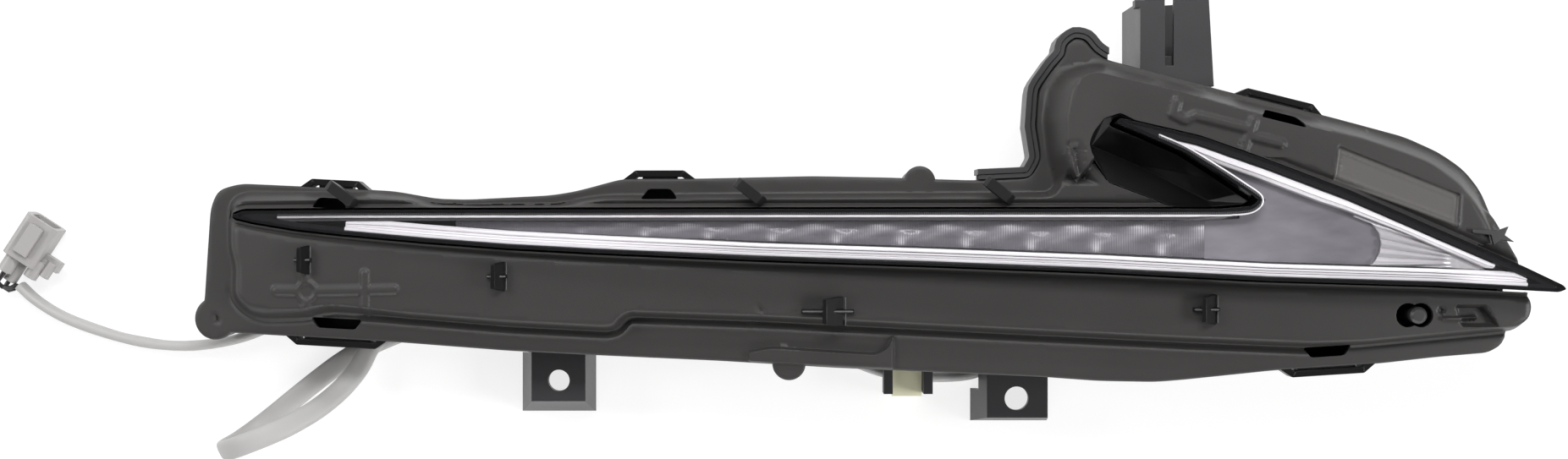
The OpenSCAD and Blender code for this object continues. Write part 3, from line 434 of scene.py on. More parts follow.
class Net:
    """Node net of one material, or of the world."""

    def __init__(self, name: str, owner: Any = None) -> None:
        """Starts an empty net in a new material of that name, or in the owner given."""
        self.owner = owner or bpy.data.materials.new(name)
        self.owner.use_nodes = True
        self.tree = self.owner.node_tree
        self.tree.nodes.clear()
        self._place: bpy.types.Node | None = None

    def node(
        self, kind: str, settings: dict[str, Any] | None = None, inputs: dict[Any, Any] | None = None
    ) -> bpy.types.Node:
        """Adds one node.

        Args:
            kind: Node type, without the words that all types start with.
            settings: Properties of the node, with a ramp's stops under "stops".
            inputs: Values or links of its sockets, by name or number.

        Returns:
            The node.
        """
        made = self.tree.nodes.new("ShaderNode" + kind)
        for key, value in (settings or {}).items():
            if key == "stops":
                stops = made.color_ramp.elements
                stops[0].color, stops[1].color = (*value[0][1], 1.0), (*value[-1][1], 1.0)
                for position, colour in value[1:-1]:
                    stops.new(position).color = (*colour, 1.0)
            else:
                setattr(made, key, value)
        for key, value in (inputs or {}).items():
            socket = made.inputs[key]
            if isinstance(value, Amount):
                value = value.socket
            if isinstance(value, bpy.types.NodeSocket):
                self.tree.links.new(value, socket)
            elif socket.type == "RGBA" and len(value) == 3:
                socket.default_value = (*value, 1.0)
            else:
                socket.default_value = value
        return made

    def place(self, scale: Colour = (1.0, 1.0, 1.0), turn: float = 0.0) -> bpy.types.NodeSocket:
        """Object coordinates, stretched by a scale and turned about the upright axis."""
        if self._place is None:
            self._place = self.node("TexCoord")
        mapped = self.node(
            "Mapping",
            {},
            {"Vector": self._place.outputs["Object"], "Scale": scale, "Rotation": (0.0, 0.0, turn)},
        )
        return mapped.outputs[0]

    def axis(self, name: str) -> Amount:
        """One object coordinate, in metres."""
        split = self.node("SeparateXYZ", {}, {0: self.place()})
        return Amount(self, split.outputs[name])

    def mark(self, name: str) -> Amount:
        """Value that the points of a piece carry under a name."""
        made = self.node("Attribute", {"attribute_name": name})
        return Amount(self, made.outputs["Fac"])

    def noise(
        self, scale: float, detail: float = 2.0, stretch: Colour = (1.0, 1.0, 1.0), turn: float = 0.0
    ) -> Amount:
        """Soft noise between nothing and one, with a scale per metre."""
        made = self.node(
            "TexNoise",
            {},
            {"Vector": self.place(stretch, turn), "Scale": scale, "Detail": detail, "Roughness": 0.55},
        )
        return Amount(self, made.outputs[0])

    def cells(self, scale: float) -> Amount:
        """Distance to the nearest of scattered points, as a moulded grain has."""
        made = self.node("TexVoronoi", {"feature": "F1"}, {"Vector": self.place(), "Scale": scale})
        return Amount(self, made.outputs["Distance"])

    def blend(self, share: Any, first: Any, second: Any) -> bpy.types.NodeSocket:
        """Colour between two colours, by a share."""
        made = self.node(
            "Mix", {"data_type": "RGBA", "clamp_factor": True}, {0: share, 6: first, 7: second}
        )
        return made.outputs[2]

    def mottled(self, share: Any, colour: Colour, low: float, high: float) -> bpy.types.NodeSocket:
        """Colour between a darker and a lighter tint of one colour, by a share."""
        return self.blend(share, tint(colour, low), tint(colour, high))

    def bump(self, height: Amount, depth: float, below: Any = None) -> bpy.types.NodeSocket:
        """Normal that a height field of a depth in metres gives, over another normal."""
        inputs = {"Height": height, "Distance": depth, "Strength": 1.0}
        if below is not None:
            inputs["Normal"] = below
        return self.node("Bump", {}, inputs).outputs[0]

    def rounded(self, radius: float) -> bpy.types.NodeSocket:
        """Normal that rounds the sharp edges of a moulding by a radius."""
        return self.node("Bevel", {"samples": 6}, {"Radius": radius}).outputs[0]

    def finish(self, shader: bpy.types.NodeSocket) -> bpy.types.Material:
        """Ends the net with its output."""
        self.node("OutputMaterial", {}, {"Surface": shader})
        return self.owner

    def end(self, **inputs: Any) -> bpy.types.Material:
        """Ends the net with a principled shader."""
        return self.finish(self.principled(**inputs))

    def principled(self, **inputs: Any) -> bpy.types.NodeSocket:
        """Principled shader, with words of its sockets joined by underscores."""
        named = {key.replace("_", " "): value for key, value in inputs.items()}
        return self.node("BsdfPrincipled", {}, named).outputs[0]


def tint(colour: Colour, share: float) -> Colour:
    """A colour made lighter or darker by a share."""
    return tuple(min(1.0, c * share) for c in colour)


@dataclass(frozen=True)
class Moulded:
    """Moulded plastic with a fine eroded grain, mottled a little and softened at its edges, and
    smoother where a piece marks a polish, with a painted highlight that makes it paler there."""

    name: str
    colour: Colour
    roughness: float = 0.5
    grain: float = 0.0005
    depth: float = 0.00003
    mottle: float = 0.08
    edge: float = 0.0004
    level: float = 0.5
    # Tint of the painted highlight where a piece marks it
    shine: float = 3.1

    def material(self) -> bpy.types.Material:
        """Net of the finish."""
        net = Net(self.name)
        speck = net.noise(1.0 / self.grain, 3.0)
        cloud = net.noise(22.0, 3.0)
        flow = net.noise(9.0, stretch=(1.0, 6.0, 6.0))
        mix = cloud * 0.6 + speck * 0.4
        colour = net.mottled(mix, self.colour, 1 - self.mottle, 1 + self.mottle)
        # Painted highlight: paler colour where a piece marks it, beside a smoother polish
        polish = net.mark("polish")
        colour = net.blend(polish, colour, tint(self.colour, self.shine))
        rough = self.roughness + (cloud - 0.5) * 0.12 + (speck - 0.5) * 0.1 + (flow - 0.5) * 0.08
        rough = rough - polish * 0.12
        normal = net.bump(speck, self.depth, net.rounded(self.edge))
        return net.end(
            Base_Color=colour, Roughness=rough, Normal=normal, Specular_IOR_Level=self.level
        )


@dataclass(frozen=True)
class Gloss:
    """Polished plastic under a clear skin, with the faintest waviness and a few dust specks."""

    name: str
    colour: Colour
    roughness: float = 0.06
    coat: float = 0.6
    metal: float = 0.0
    edge: float = 0.0004

    def material(self) -> bpy.types.Material:
        """Net of the finish."""
        net = Net(self.name)
        wave = net.noise(60.0, 1.0)
        dust = (net.cells(420.0) > 0.05).clamp()
        rough = self.roughness + (1 - dust) * 0.12 + wave * 0.03
        colour = net.mottled(wave, self.colour, 0.92, 1.08)
        normal = net.bump(wave, 0.00002, net.rounded(self.edge))
        return net.end(
            Base_Color=colour,
            Roughness=rough,
            Metallic=self.metal,
            Normal=normal,
            Coat_Weight=self.coat,
            Coat_Roughness=0.03,
        )


@dataclass(frozen=True)
class ClearPane:
    """Clear outer lens: see-through, with a gloss on its outer side that grows towards its
    slanted edges."""

    name: str
    tone: Colour = (0.97, 0.965, 0.975)
    haze: float = 0.05

    def material(self) -> bpy.types.Material:
        """Net of the finish."""
        net = Net(self.name)
        wave = net.noise(18.0, 1.0)
        normal = net.bump(wave, 0.00005)
        fresnel = net.node("Fresnel", {}, {"IOR": 1.49, "Normal": normal})
        behind = Amount(net, net.node("NewGeometry").outputs["Backfacing"])
        share = (Amount(net, fresnel.outputs[0]) * (1 - behind)).clamp()
        through = net.node("BsdfTransparent", {}, {"Color": self.tone}).outputs[0]
        gloss = net.principled(
            Base_Color=(0.6, 0.6, 0.63),
            Roughness=0.03 + wave * self.haze,
            Normal=normal,
            Metallic=0.6,
        )
        mixed = net.node("MixShader", {}, {0: share, 1: through, 2: gloss}).outputs[0]
        return net.finish(mixed)


@dataclass(frozen=True)
class Guide:
    """Light guide in bands from its inner to its outer side. The greys are the guide's white with
    painted shade and reflection: dark bands are painted shade on its walls and steps, mid greys are
    painted reflection, and the fine prisms across a few bands are dark painted teeth.

    The bands are stops of share and grey. The wide ones lie where the "wide" mark is one.
    """

    name: str
    bands: Stops
    wide: Stops = ((0.0, 0.9), (1.0, 0.9))
    prisms: tuple[float, float] = (2.0, 3.0)
    pitch: float = 0.0007

    def _greys(self, net: Net, share: Amount, stops: Stops) -> bpy.types.NodeSocket:
        """Grey of the bands at a share."""
        colours = [(at, (grey, grey * 0.985, grey * 0.995)) for at, grey in stops]
        return net.node("ValToRGB", {"stops": colours}, {0: share}).outputs[0]

    def material(self) -> bpy.types.Material:
        """Net of the finish."""
        net = Net(self.name)
        share = net.mark("share")
        bands = self._greys(net, share, self.bands)
        colour = net.blend(net.mark("wide"), bands, self._greys(net, share, self.wide))
        streak = net.noise(60.0, 3.0, (0.12, 6.0, 6.0))
        low, high = self.prisms
        # Dark teeth across a few bands: painted shade of fine prisms
        painted_prism_shade = (net.axis("X").wave(self.pitch) > 0.0) * (share > low) * (high - share > 0.0)
        colour = net.blend(painted_prism_shade, colour, (0.015, 0.015, 0.016))
        return net.end(
            Base_Color=colour,
            Roughness=0.18 + streak * 0.2,
            Normal=net.bump(streak, 0.00001),
            Coat_Weight=0.3,
        )


@dataclass(frozen=True)
class Optic:
    """Smoky grey light optic with fine upright flutes, with painted highlights where a piece marks
    them.
    """

    name: str
    colour: Colour = (0.18, 0.173, 0.19)
    # Colour of the painted highlights
    bright: Colour = (0.72, 0.70, 0.73)
    pitch: float = 0.0009
    roughness: float = 0.22
    flute: float = 0.00003
    swirl: tuple[float, Colour, float] = (70.0, (0.35, 1.3, 1.0), 0.3)
    cloud: float = 1.0

    def material(self) -> bpy.types.Material:
        """Net of the finish."""
        net = Net(self.name)
        flutes = net.axis("X").wave(self.pitch)
        scale, stretch, turn = self.swirl
        smoke = net.noise(scale, 4.0, stretch, turn)
        # Painted highlights of the pillows, broken by the flutes and the smoke
        gleam = net.mark("gleam") * (0.62 + flutes * 0.38) * (0.4 + smoke * 1.2)
        veil = ((smoke - 0.5) * self.cloud + 0.5).clamp()
        grey = net.mottled(veil, self.colour, 0.62, 1.38)
        colour = net.blend(gleam.clamp(), grey, self.bright)
        normal = net.bump(flutes, self.flute, net.rounded(0.0003))
        return net.end(
            Base_Color=colour,
            Roughness=self.roughness + smoke * 0.14,
            Normal=normal,
            Coat_Weight=0.2,
        )


@dataclass(frozen=True)
class Metal:
    """Bare or plated metal with drawn streaks."""

    name: str
    colour: Colour
    roughness: float = 0.3
    streaks: Colour = (1.0, 12.0, 12.0)

    def material(self) -> bpy.types.Material:
        """Net of the finish."""
        net = Net(self.name)
        drawn = net.noise(160.0, 3.0, self.streaks)
        cloud = net.noise(30.0, 2.0)
        colour = net.mottled(drawn * 0.7 + cloud * 0.3, self.colour, 0.82, 1.1)
        normal = net.bump(drawn, 0.00001, net.rounded(0.0002))
        return net.end(
            Base_Color=colour,
            Roughness=self.roughness + (drawn - 0.5) * 0.16,
            Metallic=1.0,
            Normal=normal,
        )


@dataclass(frozen=True)
class Soft:
    """Rubber or vinyl: dull, with a fine leathery skin and rubbed paler places."""

    name: str
    colour: Colour
    roughness: float = 0.62
    rub: float = 0.25
    grain: float = 0.0012

    def material(self) -> bpy.types.Material:
        """Net of the finish."""
        net = Net(self.name)
        skin = net.noise(1.0 / self.grain, 4.0)
        rubbed = net.noise(48.0, 3.0)
        colour = net.mottled(rubbed, self.colour, 1 - self.rub, 1 + self.rub)
        normal = net.bump(skin, 0.00005, net.rounded(0.0003))
        return net.end(
            Base_Color=colour, Roughness=self.roughness + (rubbed - 0.5) * 0.2, Normal=normal
        )


@dataclass(frozen=True)
class Board:
    """Lacquered circuit board: a mask with faint tracks under it."""

    name: str
    colour: Colour
    tracks: Colour
    pitch: float = 2 * math.pi / 2400.0

    def material(self) -> bpy.types.Material:
        """Net of the finish."""
        net = Net(self.name)
        track = (net.axis("Y").wave(self.pitch) > 0.72) * (net.noise(90.0, 0.0) > 0.45)
        colour = net.blend(track, self.colour, self.tracks)
        normal = net.bump(track.clamp(), 0.00002)
        return net.end(Base_Color=colour, Roughness=0.32 + track * 0.1, Normal=normal)


class Look(Enum):
    """Finishes of the lamp and its harness."""

    COVER = Moulded("cover_plastic", (0.032, 0.0304, 0.0298), 0.43, depth=0.00004, level=0.3)
    # Shaded copy of the cover plastic: painted shade makes the hooks and snap loops darker than the
    # cover, and a strong tint gives their marked edges a painted highlight
    HOOK_SHADED = Moulded(
        "hook_plastic_painted_dark", (0.007, 0.007, 0.007), 0.34, depth=0.00002, level=0.14, shine=14.0
    )
    HOUSING = Moulded("housing_plastic", (0.024, 0.024, 0.026), 0.42, grain=0.0007)
    BLACK_GLOSS = Gloss("gloss_black", (0.005, 0.005, 0.006), edge=0.00008)
    POCKET = Gloss("pocket_black", (0.006, 0.006, 0.006), 0.3, 0.14)
    LENS = ClearPane("clear_lens")
    # Greys of the guides: white where the guides are white, dark painted shade on their walls and
    # steps, and grey painted reflection on the steps of the lower and leg guides
    UPPER_GUIDE = Guide(
        "upper_guide",
        ((0.0, 0.10), (0.38, 0.10), (0.40, 0.9), (0.68, 0.9), (0.70, 0.16), (1.0, 0.16)),
        prisms=(0.70, 1.1),
    )
    LOWER_GUIDE = Guide(
        "lower_guide",
        ((0.0, 0.03), (0.05, 0.04), (0.075, 0.95), (0.34, 0.95), (0.355, 0.14), (0.385, 0.16),
         (0.40, 0.75), (0.52, 0.75), (0.535, 0.2), (0.56, 0.22), (0.58, 0.62), (0.69, 0.62),
         (0.70, 0.1), (0.73, 0.12), (0.745, 0.72), (0.92, 0.55), (0.94, 0.05), (1.0, 0.05)),
        ((0.0, 0.5), (0.05, 0.92), (0.32, 0.92), (0.34, 0.6), (0.37, 0.9), (0.52, 0.9),
         (0.54, 0.55), (0.57, 0.85), (0.69, 0.85), (0.71, 0.3), (0.75, 0.8), (0.92, 0.7),
         (0.94, 0.05), (1.0, 0.05)),
    )
    LEG_GUIDE = Guide(
        "leg_guide",
        ((0.0, 0.3), (0.06, 0.4), (0.1, 0.75), (0.34, 0.8), (0.37, 0.55), (0.4, 0.95), (0.9, 0.95),
         (0.92, 0.1), (1.0, 0.05)),
        ((0.0, 0.8), (0.1, 0.92), (0.9, 0.95), (0.92, 0.1), (1.0, 0.05)),
    )
    OPTIC = Optic("optic_grey")
    BEZEL = Optic(
        "bezel_grey", (0.205, 0.198, 0.216), (0.5, 0.5, 0.5), 0.004, 0.26, 0.000004,
        (26.0, (0.7, 2.0, 1.0), -0.9), 2.6,
    )
    BRIGHT = Gloss("bright_reflector", (0.64, 0.63, 0.64), 0.2, 0.2, 0.3, 0.0001)
    CHAMBER = Moulded("chamber_white", (0.72, 0.72, 0.73), 0.4, mottle=0.04)
    BOARD = Board("board_white", (0.62, 0.62, 0.58), (0.75, 0.74, 0.62))
    BOARD_GREEN = Board("board_green", (0.02, 0.12, 0.05), (0.05, 0.22, 0.1))
    CHIP = Gloss("chip_yellow", (0.75, 0.62, 0.2), 0.25, 0.3)
    SINK = Metal("sink_aluminium", (0.62, 0.63, 0.65), 0.34)
    STEEL = Metal("screw_steel", (0.6, 0.6, 0.62), 0.28, (2.0, 2.0, 2.0))
    BRASS = Metal("terminal_tin", (0.72, 0.66, 0.45), 0.25)
    RUBBER = Soft("rubber_black", (0.022, 0.022, 0.023), 0.7)
    PIN = Moulded("pin_black", (0.03, 0.03, 0.03), 0.4)
    SLEEVE = Soft("sleeve_vinyl", (0.35, 0.345, 0.34), 0.5, 0.05, 0.0009)
    WIRE = Soft("wire_black", (0.012, 0.012, 0.013), 0.4)
    CONNECTOR = Moulded("connector_grey", (0.30, 0.29, 0.285), 0.42, depth=0.00002)
    CLIP = Moulded("clip_cream", (0.88, 0.86, 0.62), 0.42, depth=0.00002)
    SEAL = Soft("seal_grey", (0.05, 0.05, 0.052), 0.6)


MADE: dict[Look, bpy.types.Material] = {}


def dress(piece: bpy.types.Object, look: Look) -> bpy.types.Object:
    """Gives a piece or a CAD node one finish.

    Args:
        piece: The piece to dress.
        look: Its finish.

    Returns:
        The piece.
    """
    if look not in MADE:
        MADE[look] = look.value.material()
    piece.data.materials.clear()
    piece.data.materials.append(MADE[look])
    return piece


def put_in(
    piece: bpy.types.Object, look: Look, *nodes: str, slot: str | None = None
) -> bpy.types.Object:
    """Dresses a new piece, rides it on the lamp and lets it stand for CAD nodes."""
    dress(piece, look)
    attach(piece, "root")
    if nodes:
        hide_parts(*nodes)
    log.info("piece %s: %d faces", piece.name, len(piece.data.polygons))
    return piece


# Sub-assemblies


@dataclass
class Studio:
    """White table, soft lamps and the camera of the photograph, straight above the lamp."""

    eye: Colour = (-0.0297, -0.0068, 0.860)
    focal: float = 48.4
    sensor: float = 36.0
    sky: float = 0.12
    walls: tuple[float, float] = (0.15, 0.34)
    table: float = 4000.0
    glow: float = 1.06
    glow_share: float = 0.74
    # Place, aim, size and power of each lamp
    lamps: tuple[tuple[Colour, Colour, tuple[float, float], float], ...] = (
        ((-1.7, 0.55, 1.15), (0.0, 0.0, 0.05), (0.8, 0.5), 19.0),
        ((1.6, -0.2, 1.15), (0.1, 0.0, 0.05), (0.8, 0.5), 25.0),
        ((0.0, 0.75, 1.35), (0.0, 0.0, 0.05), (0.9, 0.3), 13.0),
        ((0.0, -1.0, 0.46), (0.0, 0.0, 0.05), (1.7, 0.16), 8.0),
        ((-0.2, 1.0, 0.6), (-0.2, 0.0, 0.05), (1.5, 0.16), 7.0),
    )

    def build(self) -> None:
        """Sets the camera, the sky, the lamps and the table."""
        scene = bpy.context.scene
        scene.view_settings.view_transform = "Standard"
        camera = bpy.data.objects.new("camera", bpy.data.cameras.new("camera"))
        camera.data.sensor_width = self.sensor
        camera.data.lens = self.focal
        camera.location = self.eye
        scene.collection.objects.link(camera)
        scene.camera = camera
        self._sky(scene)
        for number, (place, aim, size, power) in enumerate(self.lamps):
            self._lamp(f"softbox_{number}", place, aim, size, power)
        self._table()

    def _sky(self, scene: bpy.types.Scene) -> None:
        """Studio round the table: white walls up to a low height, and a dim ceiling over them."""
        scene.world = bpy.data.worlds.new("studio")
        net = Net("studio", scene.world)
        wall, ceiling = (1.0, 1.0, 1.0), (self.sky, self.sky, self.sky)
        low, high = self.walls
        stops = ((0.0, wall), (low, wall), (high, ceiling), (1.0, ceiling))
        height = net.node("SeparateXYZ", {}, {0: net.node("TexCoord").outputs["Generated"]})
        ramp = net.node("ValToRGB", {"stops": stops}, {0: height.outputs["Z"]})
        shine = net.node("Background", {}, {"Color": ramp.outputs[0]})
        net.node("OutputWorld", {}, {0: shine.outputs[0]})

    def _lamp(
        self, name: str, place: Colour, aim: Colour, size: tuple[float, float], power: float
    ) -> None:
        """Soft rectangular lamp at a place, turned to its aim."""
        light = bpy.data.lights.new(name, "AREA")
        light.shape = "RECTANGLE"
        light.size, light.size_y = size
        light.energy = power
        lamp = bpy.data.objects.new(name, light)
        lamp.location = place
        away = lamp.location - Vector(aim)
        lamp.rotation_euler = away.to_track_quat("Z", "Y").to_euler()
        bpy.context.scene.collection.objects.link(lamp)

    def _table(self) -> None:
        """Pale table top with a light grain, which keeps the shadow under the lamp."""
        side = np.linspace(-1.0, 1.0, 17) * self.table
        x, y = np.meshgrid(side, side, indexing="ij")
        points = np.stack([x + ORIGIN[0], y + ORIGIN[1], np.full_like(x, -0.05)], -1)
        table = make_piece("table", points.reshape(-1, 3), grid_faces(17, 17)[:, ::-1])
        net = Net("table_white")
        rays = net.node("LightPath").outputs
        grain = net.noise(900.0, 2.0)
        paper = net.principled(
            Base_Color=net.blend(grain, (0.90, 0.90, 0.90), (0.95, 0.95, 0.95)), Roughness=0.75
        )
        white = {"Color": (1.0, 1.0, 1.0), "Strength": self.glow}
        glow = net.node("Emission", {}, white).outputs[0]
        camera, glossy, through = (
            Amount(net, rays[f"Is {kind} Ray"]) for kind in ("Camera", "Glossy", "Transmission")
        )
        share = (camera + glossy + through).clamp() * self.glow_share
        mixed = net.node("MixShader", {}, {0: share, 1: paper, 2: glow}).outputs[0]
        table.data.materials.append(net.finish(mixed))


@dataclass
class Harness:
    """Flat sleeve from the grommet round the lamp to its grey connector.

    Each row of the route is x, y, z, the azimuth of the broad side and the roll on edge.
    """

    width: float = 8.4
    thick: float = 4.2
    boxy: float = 0.8
    sides: int = 28
    steps: int = 7
    route: Table = (
        (340, -50, 8.5, 270, 0), (336, -50.1, 8.4, 268, 0), (330, -52.2, 7.5, 262, 20),
        (321, -57.2, 6.4, 248, 45), (312, -62.6, 5.2, 246, 70), (303, -66.2, 4.5, 256, 90),
        (294, -67.3, 4.4, 268, 90), (285, -67.4, 4.4, 271, 90), (276.5, -67, 4.4, 275, 90),
        (267, -65.4, 4.4, 284, 90), (257, -61.8, 4.4, 293, 90), (246, -57, 4.4, 294, 90),
        (234, -52.4, 4.4, 290, 90), (219, -48.4, 4.2, 284, 75), (200, -45, 3.6, 280, 50),
        (180, -42.4, 2.8, 277, 25), (158, -40.4, 2.3, 275, 0), (135, -39, 2.2, 273, 0),
        (115, -38.4, 3.4, 272, 0), (100, -38, 6.4, 272, 0), (88, -38.6, 7.2, 274, 0),
        (77, -41.4, 7.2, 291, 0), (67, -46.8, 7.2, 307, 0), (60, -54.4, 7.4, 323, 0),
        (55.5, -63.4, 9.4, 333, 0), (49.5, -71.5, 14.4, 318, 0), (42, -78.5, 21.4, 308, 0),
        (33.5, -84, 29, 300, 0), (26, -87.6, 34, 296, 0), (18, -90.8, 35.6, 294, 0),
        (10.5, -93.6, 32.4, 293, 0), (5.6, -95.2, 26, 297, 0), (4.6, -95, 18, 300, 0),
        (7.2, -93, 9.4, 303, 0), (13, -88.4, 3.8, 307, 0), (20.5, -82.4, 2.2, 309, 0),
        (34, -71.4, 2.2, 310, 0), (47, -61.6, 2.2, 304, 0), (60, -54, 2.2, 300, 0),
        (74, -48, 2.2, 298, 0), (87, -42, 2.2, 304, 0), (97, -34.5, 2.2, 326, 0),
        (102, -24.5, 2.2, 350, 0), (101, -14, 2.2, 385, 0), (93.5, -6.8, 2.2, 420, 0),
        (83, -4.6, 2.3, 455, 5), (72, -7.5, 2.6, 480, 20), (62, -13.6, 3, 486, 40),
        (52, -21.6, 3.6, 490, 60), (42, -30.2, 4.2, 491, 80), (31.5, -38.8, 4.4, 488, 90),
        (20, -46, 4.4, 480, 90), (7, -51.4, 4.4, 469, 90), (-7, -54.2, 4.4, 458, 90),
        (-22, -54.6, 4.4, 448, 90), (-38, -52.2, 4.4, 440, 90), (-53, -47.8, 4.4, 434, 90),
        (-66, -42.6, 4.4, 427, 90), (-76, -36.4, 4.5, 417, 90), (-82.7, -30.3, 4.6, 408, 90),
    )

    def build(self) -> None:
        curve = spline(self.route, self.steps)
        path = curve[:, :3]
        heading = unit(np.gradient(path, axis=0))
        turn = np.radians(curve[:, 3])
        level = np.stack([np.cos(turn), np.sin(turn), np.zeros_like(turn)], 1)
        broad = unit(level - heading * np.sum(level * heading, 1, keepdims=True))
        upright = np.cross(heading, broad)
        roll = np.radians(curve[:, 4:5])
        side = np.cos(roll) * broad + np.sin(roll) * upright
        rise = np.cos(roll) * upright - np.sin(roll) * broad
        sleeve = tube("harness_sleeve", self._rings(path, side, rise))
        put_in(sleeve, Look.SLEEVE, "sleeve", slot="sleeve_grey")
        self.width * MM

    def _rings(self, path: np.ndarray, side: np.ndarray, rise: np.ndarray) -> np.ndarray:
        """Flattened oval rings: the cosine and sine of the section are drawn towards a box by a
        power, a lap seam stands up along one broad face, and the faces sink a little in slow
        waves.

        Args:
            path: Points of the middle line.
            side: Direction of the broad side at each.
            rise: Direction of the thickness at each.

        Returns:
            Rings of points.
        """
        angle = 2 * np.pi * np.arange(self.sides) / self.sides
        circle = np.stack([np.cos(angle), np.sin(angle)])
        across, through = np.sign(circle) * np.abs(circle) ** self.boxy
        along = np.concatenate([[0.0], np.cumsum(np.linalg.norm(np.diff(path, axis=0), axis=1))])
        slack = 1 - 0.035 * (1 + np.sin(along[:, None] * 0.21 + 2 * np.sin(along[:, None] * 0.047)))
        seam = 1 + 0.06 * np.exp(-(((across - 0.45) / 0.07) ** 2)) * (through > 0)
        wide = across[None, :, None] * side[:, None] * self.width / 2
        deep = (through * seam)[None, :, None] * slack[:, :, None] * rise[:, None] * self.thick / 2
        return path[:, None] + wide + deep


@dataclass
class PillowOptic:
    """Grey optic over the row of lamps, with two staggered rows of soft pillows."""

    start: float = 100.2
    end: float = 384.95
    pitch: float = 24.4
    first: float = 165.0
    thick: float = 2.8
    rise: float = 0.7
    # Middle of each row and half its width, as shares of the optic's width
    rows: tuple[float, float] = (0.30, 0.70)
    belly: float = 0.36
    along: int = 1250
    across: int = 26
    upper: Table = ((100, -4.3), (384.6, -4.2))
    lower: Table = (
        (100, -6.1), (122, -7.75), (155, -9.4), (219, -12.05), (282, -14.05), (345, -16.4),
        (384.6, -18.3),
    )

    def build(self) -> None:
        """Lays the pillows between the strips: over each one the height is the product of two
        raised cosines, one along the lamp and one across the row, on the bow of the lens."""
        x = np.linspace(self.start, self.end, self.along)
        top = follow(self.upper, x)
        low = follow(self.lower, x)
        v = np.linspace(0.0, 1.0, self.across)
        y = top[:, None] + (low - top)[:, None] * v
        growth = np.clip((x - 118.0) / 60.0, 0.0, 1.0) * np.clip((top - low) / 8.0, 0.0, 1.2)
        height = np.zeros_like(y)
        for row, middle in enumerate(self.rows):
            phase = (x - self.first) / self.pitch + row / 2
            bulge = np.abs(np.cos(np.pi * phase)) ** 1.4
            belly = np.clip(1 - ((v - middle) / self.belly) ** 2, 0.0, 1.0) ** 1.2
            height += bulge[:, None] * belly[None, :]
        ease_in = np.clip((x - 374.0) / 11.0, 0.0, 1.0)[:, None]
        z = LENS_BOW.height(x, OPTIC_LEVEL)[:, None] - 0.5 * (1 - ease_in)
        z = z + self.rise * growth[:, None] * height * (1 - ease_in)
        floor = LENS_BOW.height(x, OPTIC_LEVEL - self.thick)
        face = np.stack([np.broadcast_to(x[:, None], y.shape), y, z], -1)
        under = np.stack([np.stack([x, low, floor], -1), np.stack([x, top, floor], -1)], 1)
        piece = tube("pillow_optic_face", np.concatenate([face, under], 1))
        # Painted highlights on the pillows, fading where they shrink
        gleam = self._gleam(x, v) * growth[:, None]
        mark(piece, "gleam", np.concatenate([gleam, np.zeros((len(x), 2))], 1))
        put_in(piece, Look.OPTIC, "pillow_optic", slot="optic_grey")

    def _gleam(self, x: np.ndarray, v: np.ndarray) -> np.ndarray:
        """Painted highlights of the pillows: bell curves of the place along the pitch and across the
        optic, flat dashes above, upright sparks below, and slanted veils between them.

        Args:
            x: Places along the lamp.
            v: Shares of the width, from the upper edge.

        Returns:
            Painted highlight at each x and v.
        """
        phase = ((x - self.first) / self.pitch)[:, None]

        def bell(
            at: float, wide: float, middle: float, tall: float, slant: float = 0.0
        ) -> np.ndarray:
            """One bell curve in every pitch, slanted by a share of the pitch per width."""
            off = (phase - at + slant * (v - middle) + 0.5) % 1.0 - 0.5
            return np.exp(-((off / wide) ** 2) - ((v - middle) / tall) ** 2)

        dash = bell(0.0, 0.12, 0.18, 0.06, 0.5) + 0.55 * bell(0.07, 0.2, 0.28, 0.1, 0.7)
        spark = 0.9 * bell(0.36, 0.05, 0.87, 0.09) + 0.6 * bell(0.36, 0.09, 0.74, 0.2)
        veil = 0.34 * bell(0.9, 0.16, 0.5, 0.24, 1.0) + 0.24 * bell(0.5, 0.1, 0.62, 0.2, 1.2)
        return dash + spark + veil


